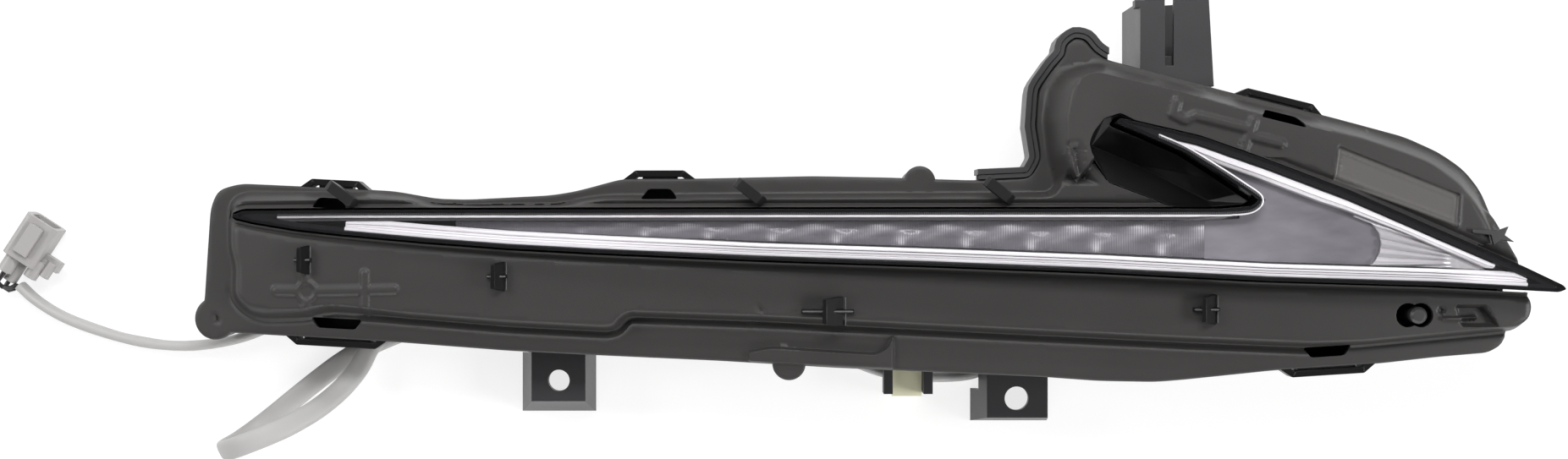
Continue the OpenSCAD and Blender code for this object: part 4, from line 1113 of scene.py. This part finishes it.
@dataclass
class LightGuides:
    """White guides along the upper edge, the lower edge and the leg of the lens, and the bright
    ribbed reflector between them behind the arrow tip."""

    # Distances from the edge of the lens to the guides, to the inner side of the upper one, and
    # to the end of the lips over the ledge
    inset: float = 2.95
    upper_reach: float = 4.1
    lip_end: float = 1.25
    lower_width: float = 3.7
    leg_width: float = 4.3
    # Focus of the ribs, and middle and radius of the round edge where they meet the bezel
    focus: tuple[float, float] = (493.0, -24.0)
    fan: tuple[float, float, float] = (440.9, -13.0, 10.2)
    # Radius of the smooth plate round the focus, in millimetres, and the ribs' angle, in degrees
    plate: float = 4.6
    rib: float = 4.6
    # Heights over the optic's level, and how far the reflector goes down under it
    seat: float = 0.6
    rib_rise: float = 1.5
    plate_rise: float = 0.7
    bead_rise: float = 0.12
    reflector_wall: float = 2.6
    notch: Table = (
        (392, 0.3), (397, 0.5), (401, 1.2), (403.2, 2.9), (402.6, 4.4), (398.5, 7.2), (389, 13.4),
        (376, 21.3), (366, 25.8),
    )

    def build(self) -> None:
        """Makes the three guides, the line round the notch and the reflector."""
        self._upper()
        self._notch_line()
        self._lower()
        self._leg()
        self._reflector()

    def _sweep(
        self,
        name: str,
        line: np.ndarray,
        side: float,
        section: np.ndarray,
        shares: np.ndarray,
        wide: np.ndarray | float = 0.0,
    ) -> bpy.types.Object:
        """Closed bar whose section lies at distances inside a line and at heights on its bow.

        Args:
            name: Name of the piece.
            line: Edge of the lens, seen from above.
            side: One if the lens lies to the left of the line, and minus one if to its right.
            section: Distance and height of each corner, for each point of the line.
            shares: Share across the bar of each corner.
            wide: Mark of the wide bands, one for all or one at each point of the line.

        Returns:
            The piece.
        """
        run = unit(np.gradient(line, axis=0))
        inwards = np.stack([-run[:, 1], run[:, 0]], 1) * side
        plan = line[:, None] + inwards[:, None] * section[:, :, :1]
        level = LENS_BOW.height(plan[..., 0], 0.0) + section[:, :, 1]
        piece = tube(name, np.concatenate([plan, level[..., None]], -1))
        mark(piece, "share", np.broadcast_to(shares, level.shape))
        mark(piece, "wide", np.broadcast_to(np.reshape(wide, (-1, 1)), level.shape))
        return piece

    def _upper(self) -> None:
        """Bar under the upper edge with a thin lip that lies over the ledge of the frame."""
        x = np.linspace(30.0, 394.0, 500)
        line = np.stack([x, follow(LENS_UPPER, x)], 1)
        ledge, low = LEDGE_LEVEL, GUIDE_FLOOR
        reach, end, step = self.upper_reach, self.lip_end, STRIP_LEVEL - 0.9
        section = np.array([
            (reach, low), (reach, step), (3.1, step), (2.75, ledge + 0.02), (2.6, ledge + 0.16),
            (2.3, ledge + 0.17), (1.9, ledge + 0.17), (1.5, ledge + 0.16), (end, ledge + 0.16),
            (end, ledge + 0.03), (2.9, ledge - 0.1), (self.inset, low),
        ])
        shares = np.clip((reach - section[:, 0]) / (reach - end), 0.0, 1.0)
        sections = np.repeat(section[None], len(x), 0)
        inner = section[:, 0] > 2.76
        fade = np.interp(x, [378.0, 390.0], [0.0, 1.0])[:, None, None]
        sections[:, inner] += (np.array([2.76, ledge - 0.05]) - sections[:, inner]) * fade
        piece = self._sweep("upper_guide", line, -1.0, sections, shares)
        put_in(piece, Look.UPPER_GUIDE, "upper_light_strip", slot="bright_strip")

    def _lower(self) -> None:
        """Bar over the lower edge: a white bead, and bands that step down to the frame."""
        x = np.linspace(57.0, 505.0, 900)
        line = np.stack([x, follow(LENS_LOWER, x)], 1)
        room = follow(LENS_UPPER + ((520.0, 1.0),), x) - line[:, 1]
        reach = np.minimum(self.inset + self.lower_width, room - self.upper_reach - 0.2)
        tip = follow(LENS_LEG, x) - line[:, 1] - self.inset * LEG_SLANT
        reach = np.where(x > 480.0, np.clip(tip, self.inset + 0.05, reach), reach)
        inner = np.array([
            0, 0, 0.07, 0.09, 0.15, 0.22, 0.30, 0.345, 0.365, 0.39, 0.52, 0.54, 0.64, 0.69,
        ])
        rise = np.array([
            0, -1.2, -1.2, -0.4, -0.1, 0, -0.1, -0.3, -0.7, -0.3, -0.3, -0.6, -0.5, -0.5,
        ])
        lip = np.array([2.9, 2.58, 2.2, 1.8, 1.46, 1.3, 1.3, 2.9, 2.95])
        over = np.array([0.03, 0.15, 0.17, 0.17, 0.16, 0.13, 0.03, -0.1, 0.0])
        bar = reach[:, None] - (reach - self.inset)[:, None] * inner / inner[-1]
        distance = np.hstack([bar, np.broadcast_to(lip, (len(x), len(lip)))])
        height = np.hstack([STRIP_LEVEL + rise, LEDGE_LEVEL + over])
        height = np.broadcast_to(height, distance.shape).copy()
        height[:, [0, -1]] = GUIDE_FLOOR
        outer = inner[-1] + (1 - inner[-1]) * (self.inset - lip) / (self.inset - lip.min())
        shares = np.concatenate([inner, outer])
        wide = np.clip((215.0 - x) / 60.0, 0.0, 1.0) + np.clip((x - 474.0) / 12.0, 0.0, 1.0)
        sections = np.stack([distance, height], -1)
        piece = self._sweep("lower_guide", line, 1.0, sections, shares, wide)
        put_in(piece, Look.LOWER_GUIDE, "lower_light_strip", slot="bright_strip")

    def _leg(self) -> None:
        """Bar along the leg with a rounded crown."""
        x = np.linspace(371.5, 494.5, 320)
        line = np.stack([x, follow(LENS_LEG, x)], 1)
        room = line[:, 1] - follow(LENS_LOWER, x) - self.inset - self.lower_width - 0.1
        width = np.clip(room / LEG_SLANT - self.inset, 0.05, self._leg_width(x))[:, None]
        shares = np.array([0, 0, 0.08, 0.2, 0.36, 0.38, 0.5, 0.65, 0.8, 0.9, 1.0, 1.0])
        rise = np.array([0, -1.6, -1.3, -0.8, -0.7, -0.1, 0, 0, -0.2, -0.6, -0.8, 0])
        distance = self.inset + width * (1 - shares)
        height = np.broadcast_to(STRIP_LEVEL + rise, distance.shape).copy()
        height[:, [0, -1]] = GUIDE_FLOOR
        wide = np.clip((x - 462.0) / 16.0, 0.0, 1.0)
        sections = np.stack([distance, height], -1)
        piece = self._sweep("leg_guide", line, -1.0, sections, shares, wide)
        put_in(piece, Look.LEG_GUIDE, "leg_light_strip", slot="bright_strip")

    def _leg_width(self, x: np.ndarray) -> np.ndarray:
        """Width of the leg guide, which narrows beside the reflector."""
        return self.leg_width * np.interp(x, [372.0, 392.0, 430.0, 462.0], [0.6, 1.0, 1.0, 0.62])

    def _reflector(self) -> None:
        """Ribs that spread from the focus near the tip, as raised cosines of the angle, and a
        smooth plate with a bead round the focus. The grid runs from the round end of the bezel
        to the tip, and from the lower guide to the leg."""
        share = np.linspace(0.0, 1.0, 150)
        x = np.linspace(self.fan[0] - 2.0, self.fan[0] + 20.0, 500)[:, None]
        low, leg = self._gap_sides(x)
        y = low + (leg - low) * share
        out = np.hypot(x - self.fan[0], y - self.fan[1]) > self.fan[2]
        start = x[np.argmax(out & (x > self.fan[0]), axis=0), 0]
        along = np.linspace(0.0, 1.0, 130)[:, None] ** 0.9
        x = start + (self.focus[0] - 3.0 - start) * along
        low, leg = self._gap_sides(x)
        y = low + (leg - low) * share
        dx = x - self.focus[0]
        turn = np.degrees(np.arctan2(y - self.focus[1] - 4.0, dx))
        radius = np.hypot(np.minimum(dx + 10.0, 0.0), y - (low + leg) / 2)
        ribs = np.abs(np.cos(turn * np.pi / self.rib)) ** 0.8
        outside = smooth_step((radius - self.plate) / 5.0)
        bead = np.exp(-(((radius - self.plate + 0.6) / 1.1) ** 2))
        z = self.seat + self.rib_rise * ribs * outside + self.plate_rise * (1 - outside)
        z = z + self.bead_rise * bead
        bow = LENS_BOW.height(x, OPTIC_LEVEL)
        top = np.stack([x, y, bow + z], -1)
        under = np.stack([x, y, bow - self.reflector_wall], -1)
        piece = slab("ribbed_reflector", top, under)
        put_in(piece, Look.BRIGHT, "corner_reflector", slot="reflector")

    def _gap_sides(self, x: np.ndarray) -> tuple[np.ndarray, np.ndarray]:
        """Sides of the gap between the lower guide and the leg guide at places along the lamp."""
        low = follow(LENS_LOWER, x) + self.inset + self.lower_width + 0.2
        leg = follow(LENS_LEG, x) - (self.inset + self._leg_width(x) + 0.1) * LEG_SLANT
        return low, np.maximum(leg, low + 0.05)

    def _notch_line(self) -> None:
        """Thin bright lip on the ledge of the frame that goes on round the corner of the notch."""
        line = spline(self.notch, 14)
        reach, end = self.upper_reach, self.lip_end
        section = np.array([
            (2.7, 0.02), (2.6, 0.15), (2.2, 0.17), (1.9, 0.17), (1.5, 0.16), (end, 0.15), (end, 0.03),
        ]) + [0.0, LEDGE_LEVEL]
        sections = np.repeat(section[None], len(line), 0)
        shares = (reach - section[:, 0]) / (reach - end)
        piece = self._sweep("notch_line", line, -1.0, sections, shares)
        put_in(piece, Look.UPPER_GUIDE, slot="bright_strip")


def block(low: np.ndarray, floor: Any, high: np.ndarray, top: Any) -> np.ndarray:
    """Lower and upper ring of a block, from their corners seen from above and their heights."""
    return np.stack([np.c_[low, np.full(len(low), floor)], np.c_[high, np.full(len(high), top)]])


def prisms(name: str, stacks: Sequence[np.ndarray], edge: float) -> bpy.types.Object:
    """Blocks between pairs of rings of equal size, as one mesh with bevelled edges.

    Args:
        name: Name of the piece.
        stacks: For each block its lower and its upper ring.
        edge: Width of the bevel, in millimetres.

    Returns:
        The piece.
    """
    points, sides, fans, start = [], [], [], 0
    for pair in stacks:
        m = pair.shape[1]
        middle = pair.mean(1)
        points.append(np.vstack([pair.reshape(-1, 3), middle]))
        j = np.arange(m)
        k = (j + 1) % m
        wall = np.stack([j, k, k + m, j + m], 1)
        caps = np.stack([
            np.stack([np.full(m, 2 * m), k, j], 1), np.stack([np.full(m, 2 * m + 1), j + m, k + m], 1),
        ]).reshape(-1, 3)
        if sum(signed_volume(points[-1], faces) for faces in (wall, caps)) < 0:
            wall, caps = wall[:, ::-1], caps[:, ::-1]
        sides.append(wall + start)
        fans.append(caps + start)
        start += len(points[-1])
    piece = make_piece(
        name, np.vstack(points), np.concatenate(sides), np.concatenate(fans), crease=30.0
    )
    bevel = piece.modifiers.new("edges", "BEVEL")
    bevel.width = edge * MM
    bevel.segments = 2
    bevel.limit_method = "ANGLE"
    bevel.angle_limit = math.radians(30)
    return piece


@dataclass
class FrontCover:
    """Front moulding: rim, raised face, wing, and the reliefs, hooks and snap loops on them."""

    wall: float = 2.4
    # How far the corners of each outline are eased, and the radius of the outer edges
    rim_ease: float = 4.0
    face_ease: float = 3.5
    wing_ease: float = 2.5
    pad_ease: float = 1.2
    fine_ease: float = 0.8
    edge_round: float = 0.9
    # Foot of the wing and how far it rises, and the fillets at its top and at the face
    wing_foot: float = 51.0
    wing_rise: float = 22.0
    wing_fillets: tuple[float, float] = (2.6, 3.2)
    # Heights and depths of the reliefs, the hooks and the snap loops
    scoop_depth: float = 4.2
    recess_depth: float = 3.6
    recess_rib_height: float = 2.4
    pad_height: float = 1.8
    label_depth: float = 0.8
    plate_height: float = 6.0
    plate_rib_height: float = 3.3
    root_depth: float = 0.7
    loop_depth: float = 9.0
    # Steps of the plan's grid, and its first corner
    pitch: float = 1.45
    fine: float = 0.72
    corner: tuple[float, float] = (-8.0, -68.0)
    rim: Table = (
        (-1.5, -36), (1, 1), (4, 8), (13, 10.6), (37, 9.5), (75, 7.5), (92, 4.5), (104, 4.1),
        (137, 5.7), (147, 7.3), (165, 12.1), (195, 12.1), (238, 13), (267, 12.4), (299, 11.3),
        (321, 12.3), (325, 19.4), (323, 32), (324, 46), (330, 54.5), (334, 59), (334.5, 63),
        (338, 65.8), (342, 65), (345.5, 60.5), (350, 57.5), (362, 54.3), (395, 45.6), (437, 35.3),
        (464.5, 28), (478, 22), (487.5, 15.5), (494, 7.5), (498, -2), (501, -9), (504.5, -17),
        (504, -48), (502, -52), (497, -54.8), (478, -56.3), (455, -58.8), (414, -61.4), (380, -64.9),
        (369, -65.8), (347, -65.4), (325, -63.8), (283, -62), (246, -60.5), (202, -58), (153, -56),
        (120, -54.5), (77, -51.5), (30, -49.2), (6, -48), (-3, -43),
    )
    face: Table = (
        (8, -1), (9, 3.5), (12, 6.5), (17, 7.9), (68, 7.3), (81, 6), (92, 3.2), (108, 2.6),
        (141, 3), (150, 4.8), (158, 5.9), (202, 6.3), (300, 6.7), (329, 7), (333, 20), (459, 20),
        (497, 0), (509, -20), (511.5, -30), (513.5, -37), (512, -42.5), (507, -46.3), (476, -49.1),
        (446, -51.9), (427, -52.5), (379, -50.5), (315, -47.4), (251, -44.3), (219, -42.7),
        (167, -41), (163, -46), (159, -46.8), (121, -45), (65, -40.7), (50, -40.1), (40, -42.6),
        (24, -43.2), (17.5, -41.9), (12, -37.7), (9.6, -33.4), (9.9, -21.9), (8, -15.3),
    )
    foot: Table = (
        (330, 4), (325.8, 20), (324, 34), (325.4, 46), (332, 54), (347, 57), (380, 49), (401, 43.2),
        (437, 34.4), (445, 32.4), (464, 27), (477, 21.4), (486.5, 15), (493, 7), (497, -3),
        (500, -12), (471, -16), (399, 8), (351, 22), (343, 14),
    )
    crest: Table = (
        (337, 11), (334, 22), (333.5, 35), (336, 46.5), (339.5, 50.3), (344, 51.6), (374, 44.5),
        (399, 37.2), (428, 30), (444, 26), (456.5, 21.5), (469, 16.5), (479, 8.8), (487, -0.7),
        (491, -8), (493, -14), (471, -12), (400, 13), (351, 26), (343, 20),
    )
    lens: Table = LENS
    pocket: Table = (
        (407, 2), (407, 8), (353, 36), (347, 34), (343, 29), (341.5, 25), (342.5, 21),
        (349.5, 10.5), (373, 1.5), (391, -1),
    )
    scoop: Table = ((331, 9), (334, 15), (331, 26), (339, 27), (342, 15), (348, 9))
    pad: Table = (
        (213, -58.6), (213, -54), (222, -52.3), (262, -54.6), (266, -52.5), (268.5, -48),
        (269.3, -48), (269.3, -61.2), (246, -60.3),
    )
    label: Table = ((434.6, 24), (481, 5.8), (480, -6.5), (432.7, 11))
    # Discs as x, y and radius, dimples as x, y, radius and depth, patches of the fine grid as x
    # and y from and to, the ring and the pin by their middles, the ends of the pin's slot as
    # distances from it, loops as x, y, length and turn, plates as x, y, reach and rib, and
    # fingers as x and y
    discs: Table = ((3, -42.6, 8.4), (279, 10.8, 6), (229, -59, 6.4))
    dimples: Table = ((3.5, -42.6, 1.5, 1.4), (218.0, -38.0, 1.5, 1.2), (476.4, -38.3, 1.6, 1.4))
    patches: Table = (
        (27, 80, -42, -22), (369, 416, 20, 42), (322, 352, -2, 38), (428, 486, -11, 28),
        (472, 502, -47, -34),
    )
    ring: tuple[float, float] = (42.3, -31.6)
    recess: Table = ((481.5, -36), (493.5, -36), (497.5, -42), (498.5, -44.6), (484, -44.6))
    recess_rib: Table = ((477.0, -41.4), (490, -41.0))
    pin: tuple[float, float] = (465.0, -40.0)
    pin_slot: tuple[float, float] = (-1.6, 3.4)
    pin_slot_radius: float = 4.6
    loops: Table = (
        (51.4, 8.74, 29, -3), (179.2, 12.1, 29, 0), (416, 40.45, 36, -13.8),
        (52, -50.28, 42, 177.2), (435, -60.07, 38, 183.6),
    )
    plates: Table = (
        (41.5, -19.3, 4.4, 7), (118, -25.5, 5.5, 8), (246, -38.5, 9, 20), (387.5, -37.7, 7, 10),
    )
    fingers: Table = ((58.5, 4.6), (216, 5.2), (310, 5.8))
    left_relief: Sequence[Table] = (
        ((30, -31.2), (38, -31.4)), ((40.8, -24.2), (42.3, -31.6), (41.6, -39.8)),
        ((46, -31.4), (63, -31)), ((65.3, -24.6), (65.3, -39.4)), ((65.3, -31), (77, -30.6)),
    )
    wing_relief: Sequence[Table] = (
        ((374, 40), (372.6, 35.5), (377, 33.4), (381, 35)), ((381, 35), (400, 30.3)),
        ((402.7, 33.1), (398.9, 22.4)), ((400.8, 27.7), (413, 24.6)),
    )

    def build(self) -> None:
        """Makes the moulding, its hooks and its snap loops."""
        put_in(self._moulding(), Look.COVER, "front_cover", slot="textured_black")
        # Hooks and snap loops in a painted-shade copy of the cover plastic
        put_in(self._hooks(), Look.HOOK_SHADED, slot="textured_black")
        put_in(self._snap_loops(), Look.HOOK_SHADED, slot="textured_black")

    def _circle(self, x: float, y: float, radius: float, count: int = 48) -> np.ndarray:
        """Points round a circle."""
        turn = 2 * np.pi * np.arange(count) / count
        return np.stack([x + radius * np.cos(turn), y + radius * np.sin(turn)], 1)

    def _slots(self) -> list[np.ndarray]:
        """Slots of the snap loops, each a small keystone behind the bar."""
        found = []
        for x, y, length, turn in self.loops:
            q = length / 4
            shape = np.array([[-q, -8], [-q + 3, -4], [q - 3, -4], [q, -8]], float)
            found.append(even(ease(shape @ turning(turn) + [x, y], 0.8), 1.2))
        return found

    def height(self, p: np.ndarray) -> np.ndarray:
        """Height of the moulding at places seen from above.

        The rim follows the long bow. The face rises over it as a smooth step of the distance
        inside its outline. The wing is a straight slope from its foot to its crest, cut off by
        its own level, and it meets the face in a fillet. Reliefs are smooth steps of the
        distance to their lines, and outer edges are rounded as a quarter circle.

        Args:
            p: Places, in lamp coordinates.

        Returns:
            Heights.
        """
        x, y = p[:, 0], p[:, 1]
        bow = COVER_BOW.height(x, 0.0)
        inner = depth_in(p, ease(self.face, self.face_ease))
        ramp = np.interp(x, [0.0, 34.0, 80.0], [5.5, 4.6, 2.6])
        z = RIM_LEVEL + bow + (FACE_LEVEL - RIM_LEVEL) * smooth_step(inner / ramp)
        z -= 0.00035 * (y + 20.0) ** 2 * (inner > 0) * np.clip(inner / 8.0, 0, 1)
        foot = depth_in(p, ease(self.foot, self.wing_ease))
        crest = -depth_in(p, ease(self.crest, self.wing_ease))
        share = np.where(foot > 0, foot / np.maximum(foot + np.maximum(crest, 0.0), 1e-6), -0.5)
        slope = self.wing_foot + self.wing_rise * share
        top, bottom = self.wing_fillets
        wing = -soft_max(-slope, -(WING_LEVEL + bow), top)
        z = np.where(foot > -2.0, soft_max(z, wing, bottom), z)
        z -= self.scoop_depth * smooth_step(depth_in(p, ease(self.scoop, 3.0)) / 6.5)
        lens_out = -depth_in(p, ease(self.lens, self.fine_ease))
        z -= 1.5 * np.exp(-(((lens_out - 2.3) / 0.9) ** 2)) * (inner > 0.5)
        z += self._reliefs(p, inner)
        edge = np.max([depth_in(p, ease(self.rim, self.rim_ease)), inner]
                      + [r - np.hypot(x - cx, y - cy) for cx, cy, r in self.discs], axis=0)
        r = self.edge_round
        lip = np.clip(r - edge, 0.0, r)
        return z - (r - np.sqrt(np.maximum(r**2 - lip**2, 0.0)))

    def _reliefs(self, p: np.ndarray, inner: np.ndarray) -> np.ndarray:
        """Small raised and sunk marks: gate arms, bead, pad, label frame, dimples and lines."""
        x, y = p[:, 0], p[:, 1]
        arms = np.zeros(len(p))
        for line in (*self.left_relief, *self.wing_relief):
            near = distance_to(p, np.asarray(line, float), closed=False)
            arms = np.maximum(arms, smooth_step((2.3 - near) / 1.3))
        ring = np.hypot(x - self.ring[0], y - self.ring[1])
        arms = np.maximum(arms, smooth_step((5.0 - ring) / 1.3))
        z = arms - 0.7 * smooth_step((3.3 - ring) / 0.8)
        bead = np.exp(-(((inner + 2.7) / 0.55) ** 2)) * (x > 60) * (x < 439) * (y < -38)
        z += 0.9 * bead - 0.6 * np.exp(-(((inner + 0.9) / 0.6) ** 2)) * (y < -30)
        z += self.pad_height * smooth_step(depth_in(p, ease(self.pad, self.pad_ease)) / 0.9)
        label = depth_in(p, ease(self.label, self.fine_ease))
        z += 0.45 * np.exp(-((label / 0.5) ** 2)) - self.label_depth * smooth_step(label / 0.8)
        z += 0.3 * np.exp(-(((label - 2.0) / 0.35) ** 2))
        for cx, cy, r, deep in self.dimples:
            z -= deep * smooth_step((r - np.hypot(x - cx, y - cy)) / 0.8)
        z -= 0.45 * np.exp(-(((x - 324.6) / 0.4) ** 2)) * (y < -47) * (inner < -1.0)
        z -= self.recess_depth * smooth_step(depth_in(p, ease(self.recess, 1.0)) / 1.2)
        rib = distance_to(p, np.asarray(self.recess_rib, float), closed=False)
        return z + self.recess_rib_height * smooth_step((1.0 - rib) / 0.7)

    def _free_cells(self, shape: tuple[int, int], taken: np.ndarray) -> np.ndarray:
        """True at the points of the plan's grid that no point of a line comes too near to.

        Args:
            shape: Rows and columns of the grid.
            taken: Points of the lines.

        Returns:
            One truth value to a grid point.
        """
        free = np.ones(shape, bool)
        at = (taken - self.corner) / self.pitch
        for dx in (0, 1):
            for dy in (0, 1):
                cell = np.floor(at).astype(int) + [dx, dy]
                near = np.linalg.norm(cell - at, axis=1) < 0.55
                near &= np.all((cell >= 0) & (cell < shape), axis=1)
                free[cell[near, 0], cell[near, 1]] = False
        return free

    def _moulding(self) -> bpy.types.Object:
        """Triangulates the plan along its outlines and lifts it by the height function."""
        rim = even(ease(self.rim, self.rim_ease), 1.5)
        outer = [rim] + [self._circle(*d) for d in self.discs]
        lens = shifted(even(ease(self.lens, self.fine_ease), 1.2), -0.9)
        pocket = shifted(even(ease(self.pocket, 1.0), 1.2), -0.2)
        x, y = self.pin
        pin = [self._circle(x + dx, y, self.pin_slot_radius, 36) for dx in self.pin_slot]
        holes = [lens, pocket, *pin, *self._slots()]
        face = even(ease(self.face, self.face_ease), 1.6)
        outer.append(face)
        foot = even(ease(self.foot, self.wing_ease), 2.0)
        crest = even(ease(self.crest, self.wing_ease), 2.0)
        lines = [*outer, *holes]
        lines += [shifted(o, d) for o in outer for d in (0.2, 0.5, 0.9)]
        lines += [shifted(face, d) for d in (-3.3, -2.7, -2.1, -0.9, 0.0, 0.5, 1.0, 1.6, 2.2, 2.9)]
        lines += [foot, crest, shifted(crest, -1.2), shifted(crest, 1.2)]
        label = even(ease(self.label, self.fine_ease), 1.1)
        pad = even(ease(self.pad, self.pad_ease), 1.1)
        lines += [shifted(label, d) for d in (-2.5, -2.0, -1.5, -0.7, 0.0, 0.5, 1.0)]
        lines += [shifted(pad, d) for d in (0.0, 0.5, 1.0)]
        lines += [shifted(lens, -d) for d in (0.5, 1.0, 1.5, 2.1, 3.0)]
        left, low = self.corner
        gx, gy = np.meshgrid(
            np.arange(left, 520.0, self.pitch), np.arange(low, 68.0, self.pitch), indexing="ij"
        )
        grid = np.stack([gx, gy], -1)[self._free_cells(gx.shape, np.vstack(lines))]
        fine = []
        for x0, x1, y0, y1 in self.patches:
            fx, fy = np.meshgrid(
                np.arange(x0, x1, self.fine), np.arange(y0, y1, self.fine), indexing="ij"
            )
            fine.append(np.stack([fx.ravel(), fy.ravel()], 1) + 0.31)
        points = np.concatenate([*lines, grid, *fine])
        edges, start = [], 0
        for line in lines:
            j = np.arange(len(line))
            edges.append(np.stack([j, (j + 1) % len(line)], 1) + start)
            start += len(line)
        made = delaunay_2d_cdt(
            [tuple(q) for q in points.tolist()], np.concatenate(edges).tolist(), [], 0, 0.02, False
        )
        plan = np.array([tuple(v) for v in made[0]])
        corners = np.array(made[2])
        middle = plan[corners].mean(1)
        keep = np.any([inside_of(middle, o) for o in outer], axis=0)
        keep &= ~np.any([inside_of(middle, h) for h in holes], axis=0)
        corners = corners[keep]
        used, corners = np.unique(corners, return_inverse=True)
        plan, corners = plan[used], corners.reshape(-1, 3)
        piece = shell("front_cover_moulding", plan, corners, self.height(plan), self.wall)
        # Painted highlight that makes the label recess paler, with a smoother polish
        mark(piece, "polish", smooth_step(depth_in(plan, ease(self.label, self.fine_ease)) / 1.0))
        return piece

    def _hooks(self) -> bpy.types.Object:
        """Leaning plates with a cross rib, and slanted fingers, as blocks between two rings."""
        stacks = []
        for x, y, reach, rib in self.plates:
            z = self._root(x)
            h = reach / 2
            head = np.array([(-h, -4.6), (1.6 - h, -5.0), (1.6 - h, 5.0), (-h, 4.6)]) + [x, y]
            middle = x - rib * 0.62 + rib / 2
            edge = self._bar(x + h - 0.1, y, 0.55, 10.6)
            ridge = self._bar(middle, y, rib - 0.8, 0.55)
            stacks += [
                block(self._bar(x + h - 0.8, y, 1.6, 11.6), z, head, z + self.plate_height),
                block(self._bar(middle, y, rib, 1.8), z,
                      self._bar(middle + 0.25, y, rib - 0.5, 1.2), z + self.plate_rib_height),
                block(edge, z, edge, z + 1.1),
                block(ridge, z, ridge, z + 3.6),
            ]
        # Painted highlight on the bars along each plate's edge and over its rib, and a faint one on
        # the fingers
        painted_highlight_share = [0.0, 0.0, 1.0, 1.0] * len(self.plates)
        side = np.array([(1, 0), (11, 0), (9, 4.2), (-1, 6.0), (-2.5, 4.2)], float)
        for x, y in self.fingers:
            flats = [
                np.c_[side[:, 0] - 6.5, np.full(len(side), across)] @ turning(-38.0) + [x, y]
                for across in (-2.1, 2.1)
            ]
            height = side[:, 1] + self._root(x)
            stacks.append(block(flats[0], height, flats[1], height))
            painted_highlight_share.append(0.12)
        piece = prisms("cover_hooks", stacks, 0.3)
        counts = [2 * pair.shape[1] + 2 for pair in stacks]
        mark(piece, "polish", np.repeat(np.array(painted_highlight_share), counts))
        return piece

    def _root(self, x: float) -> float:
        """Height a little under the face, where hooks stand."""
        return float(COVER_BOW.height(np.array(x), FACE_LEVEL)) - self.root_depth

    def _bar(self, x: float, y: float, long: float, wide: float) -> np.ndarray:
        """Corners of a box seen from above, round its middle."""
        h, k = long / 2, wide / 2
        return np.array([(x - h, y - k), (x + h, y - k), (x + h, y + k), (x - h, y + k)])

    def _snap_loops(self) -> bpy.types.Object:
        """Each loop is a tall thin band, carried on a keystone path out from the rim and back."""
        stacks = []
        for x, y, length, turn in self.loops:
            h = length / 2
            way = np.array([(-h + 1.0, -0.9), (-h + 5.4, 2.4), (h - 5.4, 2.4), (h - 1.0, -0.9)])
            for p, q in zip(way[:-1], way[1:]):
                run = unit(q - p)
                normal = np.array([-run[1], run[0]])
                start, end = p - run * 0.3, q + run * 0.3
                inner, outer = normal * 1.7, normal * 0.8
                plan = np.array([start - inner, end - inner, end + outer, start + outer])
                flat = plan @ turning(turn) + [x, y]
                base = COVER_BOW.height(flat[:, 0], RIM_LEVEL)
                stacks.append(block(flat, base - self.loop_depth, flat, base - 0.5))
        return prisms("cover_snap_loops", stacks, 0.3)


@dataclass
class Carried:
    """Nodes of the frame, each with its finish."""

    looks: tuple[tuple[Look, tuple[str, ...]], ...] = (
        (Look.HOUSING, ("rear_housing", "driver_lid")),
        (Look.COVER, ("front_cover",)),
        (Look.BLACK_GLOSS, ("lens_frame",)),
        (Look.LENS, ("outer_lens",)),
        (Look.RUBBER, ("lens_seal", "cover_seal", "lid_gasket", "harness_grommet")),
        (Look.POCKET, ("pocket_trim",)),
        (Look.UPPER_GUIDE, ("upper_light_strip",)),
        (Look.LOWER_GUIDE, ("lower_light_strip",)),
        (Look.LEG_GUIDE, ("leg_light_strip",)),
        (Look.OPTIC, ("pillow_optic",)),
        (Look.BEZEL, ("inner_bezel",)),
        (Look.BRIGHT, ("corner_reflector",)),
        (Look.CHAMBER, ("light_chamber",)),
        (Look.BOARD, ("led_board", "corner_led_board")),
        (Look.CHIP, ("led_chips", "corner_led_chips")),
        (Look.SINK, ("heat_sink",)),
        (Look.STEEL, ("board_screws", "lid_screws")),
        (Look.PIN, ("locating_pin", "wing_clip", "breather_cap")),
        (Look.BOARD_GREEN, ("driver_board",)),
        (Look.CLIP, ("harness_clip",)),
        (Look.SLEEVE, ("sleeve",)),
        (Look.WIRE, ("wires",)),
        (Look.CONNECTOR, ("connector_shell", "connector_lock")),
        (Look.SEAL, ("wire_seals",)),
        (Look.BRASS, ("terminals",)),
    )

    def build(self) -> None:
        """Dresses every node."""
        by_name = {name: look for look, names in self.looks for name in names}
        for name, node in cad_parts.items():
            dress(node, by_name[name])
            log.info("node %s: %s", name, by_name[name].name)


def main() -> None:
    """Builds the scene, the camera and the cord first."""
    logging.basicConfig(level=logging.INFO, format="%(message)s")
    Studio().build()
    Harness().build()
    FrontCover().build()
    PillowOptic().build()
    LightGuides().build()
    Carried().build()


if __name__ == "__main__":
    main()
